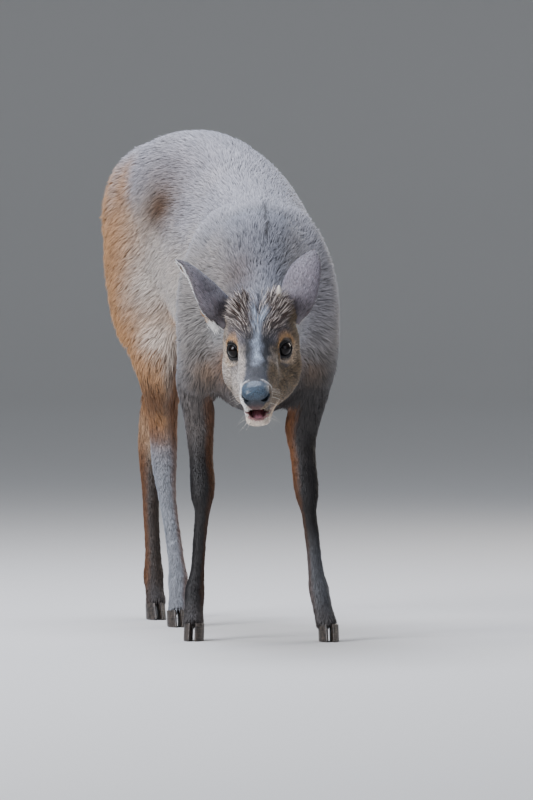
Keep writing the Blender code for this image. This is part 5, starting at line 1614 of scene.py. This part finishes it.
def dewclaw(fetlock, heading, side):
    """Small blunt cone behind the pastern."""
    toe, out = heading_axes(heading)
    root = np.array(fetlock) - toe * 0.009 + out * side * 0.0062 + Z * 0.004
    tip = root - toe * 0.0115 + out * side * 0.0020 - Z * 0.0130
    return limb_solid([(*(root + (tip - root) * share), wide, deep)
                       for share, wide, deep in ((0, 0.0036, 0.0042), (0.45, 0.0042, 0.0046),
                                                 (0.8, 0.0034, 0.0036), (1, 0.0016, 0.0016))],
                      out * side, sides=20, steps=4)


hooves = {}
for foot, (place, heading, fetlock) in FEET.items():
    solids = [claw(place, heading, side) for side in (1, -1)]
    solids += [dewclaw(fetlock, heading, side) for side in (1, -1)]
    hooves[foot] = put("hoof_horn_" + foot, *pile(solids), SHIFT)
print("hooves:", [len(made.data.polygons) for made in hooves.values()])

# %% [markdown]
# ## Whiskers and lashes
#
# A few stiff hairs stand clear of the chin and the upper lip, and
# the upper lids carry long dark lashes. They break the outline, so they are
# modelled one by one, each a three-sided closed taper that bends.

# %% Single hairs
THIRDS = (0, 2.0944, 4.1888)    # of a turn, in radians


def bristles(root, direction, bend, length, radius, rows=7):
    """Closed three-sided tapers: root + direction t + bend t^2, radius x (1 - t)."""
    t = np.linspace(0, 1, rows)
    path = (root[:, None] + direction[:, None] * (length[:, None] * t)[..., None]
            + bend[:, None] * (length[:, None] * t ** 2)[..., None])
    along = unit(np.gradient(path, axis=1))
    across = unit(np.cross(along, unit(bend + 1e-6)[:, None]))
    over = np.cross(across, along)
    size = (radius * (1 - 0.92 * t))[None, :, None]
    rings = [path + size * (across * np.cos(a) + over * np.sin(a)) for a in THIRDS]
    return pile([tube(rings_of_one) for rings_of_one in np.stack(rings, 2)])


def seat(points):
    """The skin point nearest to each given point, and its normal."""
    away = ((points[:, None] - skin_points[None, near_face]) ** 2).sum(-1)
    found = near_face[away.argmin(1)]
    return skin_points[found], skin_normals[found]


WHISKER_PATCHES = (     # number, middle, reach each way, and how far the hairs hang
    (12, (0.095, 0.014, -0.060), (0.018, 0.005, 0.004), 0.75),
    (12, (0.108, 0.017, -0.026), (0.012, 0.003, 0.009), 0.15),
)
near_face = np.nonzero(head_axes_of(skin_points)[0] > 0.0)[0][::3]
draw = np.random.default_rng(77)
spots, flow = [], []
for sign in (-1, 1):
    for count, middle, reach, fall in WHISKER_PATCHES:
        spread = draw.uniform(-1, 1, (count, 3)) * reach + middle
        spots.append(on_head(spread[:, 0], sign * spread[:, 1], spread[:, 2]))
        flow.append(np.tile(LEFT * sign * 0.9 - FORWARD * 0.25 - UP * fall, (count, 1)))
spots, flow = np.vstack(spots), np.vstack(flow)
place, out = seat(spots)
length = draw.uniform(0.009, 0.018, len(place))
bend = np.tile(-Z * 0.25, (len(place), 1))
whiskers = put("whiskers", *bristles(place, unit(flow + out * 0.8), bend, length, 0.00018), SHIFT)
lash_roots, lash_flow, lash_bend = [], [], []
for sign in (-1, 1):
    centre, look, slant, lift = eye_frame(sign)
    edge, direction = lid_edge(sign)
    upper = np.nonzero((edge - centre) @ lift > 0.0015)[0]
    lash_roots.append(edge[upper] + direction[upper] * 0.0006)
    lash_flow.append(unit(direction[upper] * 0.9 + lift * 0.35 - slant * 0.15))
    lash_bend.append(np.tile(lift * 0.30 - look * 0.1, (len(upper), 1)))
lash_roots, lash_flow, lash_bend = (np.vstack(some) for some in (lash_roots, lash_flow, lash_bend))
length = draw.uniform(0.004, 0.0075, len(lash_roots))
lashes = put("lashes", *bristles(lash_roots, lash_flow, lash_bend, length, 0.00022), SHIFT)
print("whiskers:", len(place), "lashes:", len(lash_roots))

# %% [markdown]
# ## Materials
#
# Every surface starts from what the real one is. Hair is keratin: index 1.55,
# fairly smooth, with a soft pale sheen that gives the coat its cool bloom.
# Nose and lids are moist skin, the eye is wet glass to the eye, horn is dull
# and ringed, and antler is dry bone. Patterns are scaled from millimetres.

# %% The node helper


def add(tree, kind, sockets=None, **settings):
    """Adds a node, sets its properties, and fills or links its sockets."""
    node = tree.nodes.new(kind)
    for name, value in settings.items():
        setattr(node, name, value)
    for name, value in (sockets or {}).items():
        if isinstance(value, bpy.types.NodeSocket):
            tree.links.new(value, node.inputs[name])
        else:
            node.inputs[name].default_value = value
    return node


def material(name):
    """Empty node material: its tree and its output."""
    made = bpy.data.materials.new(name)
    made.use_nodes = True
    made.node_tree.nodes.clear()
    return made, made.node_tree


def finish_material(tree, sockets):
    """Principled shader with the given sockets, linked to the output."""
    shader = add(tree, "ShaderNodeBsdfPrincipled", sockets)
    add(tree, "ShaderNodeOutputMaterial", {"Surface": shader.outputs["BSDF"]})


def set_ramp(ramp, *stops):
    """Place and colour of each stop of a colour ramp."""
    for stop, (place, code) in zip(ramp.color_ramp.elements, stops):
        stop.position = place
        stop.color = rgba(code)


def rgba(code):
    """Linear colour with full alpha from a hex code."""
    return (*linear(code), 1.0)


# %% Hair, and the skin under it
hair, tree = material("deer_guard_hair")
# Keratin hair in tapered tufts: semi-gloss along the hair, with a pale bloom
# on the grey hair and hardly any on the brown and the black
marks = add(tree, "ShaderNodeAttribute", attribute_name="marks")
parts = add(tree, "ShaderNodeSeparateColor", {"Color": marks.outputs["Color"]})
cool = add(tree, "ShaderNodeMath", {0: parts.outputs["Blue"], 1: parts.outputs["Red"]},
           operation="DIVIDE")
grey = add(tree, "ShaderNodeMapRange", {"Value": cool.outputs["Value"], "From Min": 0.40,
                                        "From Max": 0.80, "To Min": 0.05, "To Max": 0.50})
pale = add(tree, "ShaderNodeMapRange", {"Value": parts.outputs["Blue"], "From Min": 0.02,
                                        "From Max": 0.14, "To Min": 0.10})
bloom = add(tree, "ShaderNodeMath", {0: grey.outputs["Result"], 1: pale.outputs["Result"]},
            operation="MULTIPLY")
finish_material(tree, {"Base Color": marks.outputs["Color"], "Roughness": 0.52, "IOR": 1.55,
                       "Specular IOR Level": 0.35, "Sheen Weight": bloom.outputs["Value"],
                       "Sheen Roughness": 0.45, "Sheen Tint": (0.70, 0.83, 1.0, 1.0)})

under, tree = material("short_hair_on_skin")
# Short flat underhair: matt, with streaks a millimetre wide in its bump
marks = add(tree, "ShaderNodeAttribute", attribute_name="marks")
where = add(tree, "ShaderNodeTexCoord")
hair_grain = add(tree, "ShaderNodeTexNoise", {"Vector": where.outputs["Object"], "Scale": 900.0,
                                              "Detail": 3.0})
tone = add(tree, "ShaderNodeMapRange", {"Value": hair_grain.outputs["Fac"], "From Min": 0.3,
                                        "From Max": 0.7, "To Min": 0.72, "To Max": 1.18})
tinted = add(tree, "ShaderNodeVectorMath", {0: marks.outputs["Color"], 1: tone.outputs["Result"]},
             operation="MULTIPLY")
relief = add(tree, "ShaderNodeBump", {"Height": hair_grain.outputs["Fac"], "Strength": 0.6,
                                      "Distance": 0.0006})
finish_material(tree, {"Base Color": tinted.outputs["Vector"], "Roughness": 0.72, "IOR": 1.5,
                       "Normal": relief.outputs["Normal"], "Sheen Weight": 0.25})

# %% Nose, mouth, lids and tongue
nose, tree = material("wet_nose_leather")
# Moist bare skin, blue-black: cells about a millimetre across catch the light, and the grooves
# between them are painted darker as painted shade
marks = add(tree, "ShaderNodeAttribute", attribute_name="marks")
where = add(tree, "ShaderNodeTexCoord")
cells = add(tree, "ShaderNodeTexVoronoi", {"Vector": where.outputs["Object"], "Scale": 520.0},
            feature="DISTANCE_TO_EDGE")
groove = add(tree, "ShaderNodeMapRange", {"Value": cells.outputs["Distance"], "From Max": 0.25})
relief = add(tree, "ShaderNodeBump", {"Height": groove.outputs["Result"], "Strength": 0.9,
                                      "Distance": 0.0008})
depth = add(tree, "ShaderNodeMapRange", {"Value": cells.outputs["Distance"], "From Max": 0.22,
                                         "To Min": 0.25, "To Max": 1.25})
groove_shaded = add(tree, "ShaderNodeVectorMath", {0: marks.outputs["Color"], 1: depth.outputs["Result"]},
              operation="MULTIPLY")
finish_material(tree, {"Base Color": groove_shaded.outputs["Vector"], "Roughness": 0.40, "IOR": 1.42,
                       "Normal": relief.outputs["Normal"], "Coat Weight": 0.35,
                       "Coat Roughness": 0.25})

mouth, tree = material("mouth_lining")
# Wet mucous skin, dark red-brown in the shade of the mouth
where = add(tree, "ShaderNodeTexCoord")
folds = add(tree, "ShaderNodeTexNoise", {"Vector": where.outputs["Object"], "Scale": 420.0,
                                         "Detail": 2.0})
shade = add(tree, "ShaderNodeValToRGB", {"Fac": folds.outputs["Fac"]})
set_ramp(shade, (0.0, "#3a1b1c"), (1.0, "#7a4644"))
relief = add(tree, "ShaderNodeBump", {"Height": folds.outputs["Fac"], "Strength": 0.4,
                                      "Distance": 0.0004})
finish_material(tree, {"Base Color": shade.outputs["Color"], "Roughness": 0.35, "IOR": 1.40,
                       "Normal": relief.outputs["Normal"], "Coat Weight": 0.3,
                       "Coat Roughness": 0.2})

tongue_skin, tree = material("tongue_flesh")
# Pink flesh under a wet film, with papillae about half a millimetre across
where = add(tree, "ShaderNodeTexCoord")
papillae = add(tree, "ShaderNodeTexVoronoi", {"Vector": where.outputs["Object"], "Scale": 1700.0})
blush = add(tree, "ShaderNodeValToRGB", {"Fac": papillae.outputs["Distance"]})
set_ramp(blush, (0.0, "#d39aa6"), (1.0, "#b87580"))
relief = add(tree, "ShaderNodeBump", {"Height": papillae.outputs["Distance"], "Strength": 0.5,
                                      "Distance": 0.0002}, invert=True)
finish_material(tree, {"Base Color": blush.outputs["Color"], "Roughness": 0.36, "IOR": 1.40,
                       "Normal": relief.outputs["Normal"], "Subsurface Weight": 0.15,
                       "Subsurface Scale": 0.002, "Coat Weight": 0.3, "Coat Roughness": 0.2})

lid_skin, tree = material("moist_lid_margin")
# Bare dark skin of the lid's edge, moist from the tear film
where = add(tree, "ShaderNodeTexCoord")
wrinkle = add(tree, "ShaderNodeTexNoise", {"Vector": where.outputs["Object"], "Scale": 1500.0})
relief = add(tree, "ShaderNodeBump", {"Height": wrinkle.outputs["Fac"], "Strength": 0.4,
                                      "Distance": 0.0002})
finish_material(tree, {"Base Color": rgba("#0f0b0a"), "Roughness": 0.45, "IOR": 1.36,
                       "Normal": relief.outputs["Normal"], "Coat Weight": 0.15,
                       "Coat Roughness": 0.25})

# %% Eye, ear, antler and horn
eye_glass, tree = material("wet_eye")
# Cornea over a dark iris: mirror-smooth film of tears, index 1.38
marks = add(tree, "ShaderNodeAttribute", attribute_name="marks")
finish_material(tree, {"Base Color": marks.outputs["Color"], "Roughness": 0.16, "IOR": 1.38,
                       "Specular IOR Level": 0.08, "Coat Weight": 0.8, "Coat Roughness": 0.02,
                       "Coat IOR": 1.26})

ear_skin, tree = material("thin_ear_skin")
# Thin skin with very short hair: light passes a little, veins show as faint ridges
marks = add(tree, "ShaderNodeAttribute", attribute_name="marks")
where = add(tree, "ShaderNodeTexCoord")
veins = add(tree, "ShaderNodeTexNoise", {"Vector": where.outputs["Object"], "Scale": 260.0,
                                         "Detail": 4.0})
relief = add(tree, "ShaderNodeBump", {"Height": veins.outputs["Fac"], "Strength": 0.35,
                                      "Distance": 0.0005})
finish_material(tree, {"Base Color": marks.outputs["Color"], "Roughness": 0.60, "IOR": 1.45,
                       "Normal": relief.outputs["Normal"], "Subsurface Weight": 0.08,
                       "Subsurface Scale": 0.002, "Sheen Weight": 0.25})

bone, tree = material("bare_antler_bone")
# Dry bone, ivory with browner furrows 1 mm apart along the spike
where = add(tree, "ShaderNodeTexCoord")
grain = add(tree, "ShaderNodeMapping", {"Vector": where.outputs["Object"],
                                        "Scale": (900.0, 900.0, 120.0)})
streaks = add(tree, "ShaderNodeTexNoise", {"Vector": grain.outputs["Vector"], "Scale": 1.0,
                                           "Detail": 3.0})
ivory = add(tree, "ShaderNodeValToRGB", {"Fac": streaks.outputs["Fac"]})
set_ramp(ivory, (0.32, "#bda98c"), (0.62, "#f1ece2"))
relief = add(tree, "ShaderNodeBump", {"Height": streaks.outputs["Fac"], "Strength": 0.5,
                                      "Distance": 0.0003})
finish_material(tree, {"Base Color": ivory.outputs["Color"], "Roughness": 0.46, "IOR": 1.55,
                       "Normal": relief.outputs["Normal"]})

horn, tree = material("hoof_horn")
# Dark horn: growth rings 1.5 mm apart, scuffed paler by the ground
where = add(tree, "ShaderNodeTexCoord")
rings = add(tree, "ShaderNodeTexWave", {"Vector": where.outputs["Object"], "Scale": 105.0,
                                        "Distortion": 2.0, "Detail": 2.0}, bands_direction="Z")
scuffs = add(tree, "ShaderNodeTexNoise", {"Vector": where.outputs["Object"], "Scale": 240.0,
                                          "Detail": 4.0})
dull = add(tree, "ShaderNodeValToRGB", {"Fac": scuffs.outputs["Fac"]})
set_ramp(dull, (0.35, "#221e1b"), (0.75, "#5a5048"))
relief = add(tree, "ShaderNodeBump", {"Height": rings.outputs["Fac"], "Strength": 0.35,
                                      "Distance": 0.0003})
finish_material(tree, {"Base Color": dull.outputs["Color"], "Roughness": 0.42, "IOR": 1.54,
                       "Normal": relief.outputs["Normal"]})

whisker_hair, tree = material("stiff_whisker")
# Pale stiff keratin hair, a little translucent and glossy
where = add(tree, "ShaderNodeTexCoord")
fade = add(tree, "ShaderNodeTexNoise", {"Vector": where.outputs["Object"], "Scale": 90.0})
tones = add(tree, "ShaderNodeValToRGB", {"Fac": fade.outputs["Fac"]})
set_ramp(tones, (0.0, "#a79c90"), (1.0, "#f0ece4"))
finish_material(tree, {"Base Color": tones.outputs["Color"], "Roughness": 0.35, "IOR": 1.55})

# %% Hand out the materials
skin.data.vertices.foreach_set("co", (skin_points + SHIFT).ravel())
skin.data.update()
middle = skin_points[skin_triangles].mean(1)
pad, inside_mouth, rim, _ = is_bare(middle)
index = np.where(pad, 1, np.where(inside_mouth, 2, np.where(rim, 3, 0)))
skin.data.materials.clear()
for made in (under, nose, mouth, lid_skin):
    skin.data.materials.append(made)
skin.data.polygons.foreach_set("material_index", index.astype(np.int32))
print("faces on the skin:", len(skin.data.polygons),
      "of them nose, mouth, lid:", np.bincount(index)[1:])
for made in coats + ear_coats:
    made.data.materials.append(hair)
for made, finish in (*((eye, eye_glass) for eye in eyes.values()),
                     *((ear, ear_skin) for ear in ears.values()),
                     *((hoof, horn) for hoof in hooves.values()),
                     (lid_rims, lid_skin), (tongue, tongue_skin), (antler, bone),
                     (whiskers, whisker_hair), (lashes, lid_skin)):
    made.data.materials.append(finish)
skin.data.shade_smooth()

# %% [markdown]
# ## Riding on the frame
#
# The animal doesn't move, so every piece rides on the frame's one body. Skin
# and coat stand for the flesh nodes, and each other piece for its own node.

# %% Ride and replace
FLESH = ["torso", "neck", "head", "lower_jaw", "nose_pad", "foreleg_left", "foreleg_right",
         "thigh_left", "thigh_right", "shank_left", "shank_right", "tail"]
FACE_COATS = ("coat_face", "coat_cheeks", "coat_crown")


dressed = []


def dress(made, slot, *nodes):
    """Lets a piece ride on the frame's body and stand for its nodes; its slot is not used."""
    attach(made, "root")
    if nodes:
        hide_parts(*nodes)
    dressed.append(made.name)


dress(skin, "body_coat", *FLESH)
for made in coats:
    dress(made, "face_coat" if made.name.startswith(FACE_COATS)
          else "leg_coat" if "leg" in made.name else "body_coat")
for side in ("left", "right"):
    dress(eyes[side], "eye", "eye_" + side)
    dress(ears[side], "ear_hair", "ear_" + side)
for made in ear_coats:
    dress(made, "ear_hair")
dress(lid_rims, "eye")
dress(whiskers, "face_coat")
dress(lashes, "face_coat")
dress(tongue, "tongue_flesh", "tongue")
dress(antler, "antler_bone", "antler_left")
for foot, made in hooves.items():
    dress(made, "hoof_horn", *(f"{kind}_{foot}_{which}" for kind in ("hoof", "dewclaw")
                               for which in ("inner", "outer")))
print("pieces on the frame:", len(dressed))

# %% [markdown]
# ## Stage, light and camera
#
# A plain pale floor runs into a soft wall, so that nothing but the animal has
# a shape. A wide light overhead gives the bright back of the photograph, a
# large one in front fills the face, and the sky is a weak cool grey. The camera
# stands far off with a long lens, just above the animal's back.

# %% Stage
FLOOR_PROFILE = np.array((      # radius and height, from the middle out and up the wall
    (0.02, 0.0), (2.0, 0.0), (8.0, 0.0), (14.0, 0.0), (15.5, 0.12), (16.8, 0.6),
    (17.7, 1.5), (18.2, 2.8), (18.4, 4.5), (18.4, 8.0),
))
angle = 2 * np.pi * np.arange(96) / 96
radius, height = FLOOR_PROFILE.T[..., None]
points, triangles = tube(np.stack([radius * np.cos(angle), radius * np.sin(angle),
                                   height * np.ones(96)], -1))
triangles = triangles[(triangles != len(points) - 1).all(1)]        # no lid over the wall
floor = put("floor", points, triangles[:, ::-1])
paper, tree = material("pale_floor")
# Matt painted studio floor, with a faint roller texture
where = add(tree, "ShaderNodeTexCoord")
roller = add(tree, "ShaderNodeTexNoise", {"Vector": where.outputs["Object"], "Scale": 220.0,
                                          "Detail": 3.0})
relief = add(tree, "ShaderNodeBump", {"Height": roller.outputs["Fac"], "Strength": 0.1,
                                      "Distance": 0.0005})
finish_material(tree, {"Base Color": rgba("#d8d6d2"), "Roughness": 0.8,
                       "Normal": relief.outputs["Normal"]})
floor.data.materials.append(paper)

# %% Lights and world


def area_light(name, place, target, size, power, code):
    """Square soft light tilted and turned so that its face looks at the target."""
    lamp = bpy.data.lights.new(name, "AREA")
    lamp.size = size
    lamp.energy = power
    lamp.color = linear(code)
    holder = bpy.data.objects.new(name, lamp)
    bpy.context.scene.collection.objects.link(holder)
    holder.location = place
    way = unit(np.array(target) - np.array(place))
    holder.rotation_euler = (np.arccos(-way[2]), 0.0, np.arctan2(-way[0], way[1]))


BODY_AT = (0.0, 0.0, 0.4)
LIGHTS = (      # name, place, target, side of the square in metres, watts, colour
    ("overhead", (-0.5, 0.6, 3.0), (-0.05, 0.1, 0.4), 2.2, 135, "#e8eeff"),
    ("key", (-3.0, -2.6, 2.4), BODY_AT, 2.0, 215, "#f4f7ff"),
    ("fill", (2.6, -4.4, 1.4), BODY_AT, 2.8, 46, "#e4edff"),
    ("rim", (2.4, 2.8, 1.8), BODY_AT, 1.6, 40, "#fff3e4"),
)
for row in LIGHTS:
    area_light(*row)
world = bpy.data.worlds.new("studio_air")
bpy.context.scene.world = world
world.use_nodes = True
sky = world.node_tree.nodes["Background"]
sky.inputs["Color"].default_value = rgba("#dfe6f2")
sky.inputs["Strength"].default_value = 0.40
print("lights:", [row[0] for row in LIGHTS])

# %% Camera
FOCAL_LENGTH, SENSOR = 300.0, 36.0      # millimetres
FOCAL_PIXELS = 6660                     # the same lens in pixels of the photograph
HORIZON_PIXELS = 156                    # how far the horizon lies over the picture's middle
CAMERA_AT = np.array((0.0, -9.25, 0.55))
lens = bpy.data.cameras.new("long_lens")
lens.lens = FOCAL_LENGTH
lens.sensor_width = SENSOR
lens.clip_end = 200.0
camera = bpy.data.objects.new("camera", lens)
bpy.context.scene.collection.objects.link(camera)
camera.location = SHIFT + CAMERA_AT
camera.rotation_euler = (np.pi / 2 - np.arctan(HORIZON_PIXELS / FOCAL_PIXELS), 0.0, 0.0)
bpy.context.scene.camera = camera

# %% The finish
bpy.context.view_layer.update()
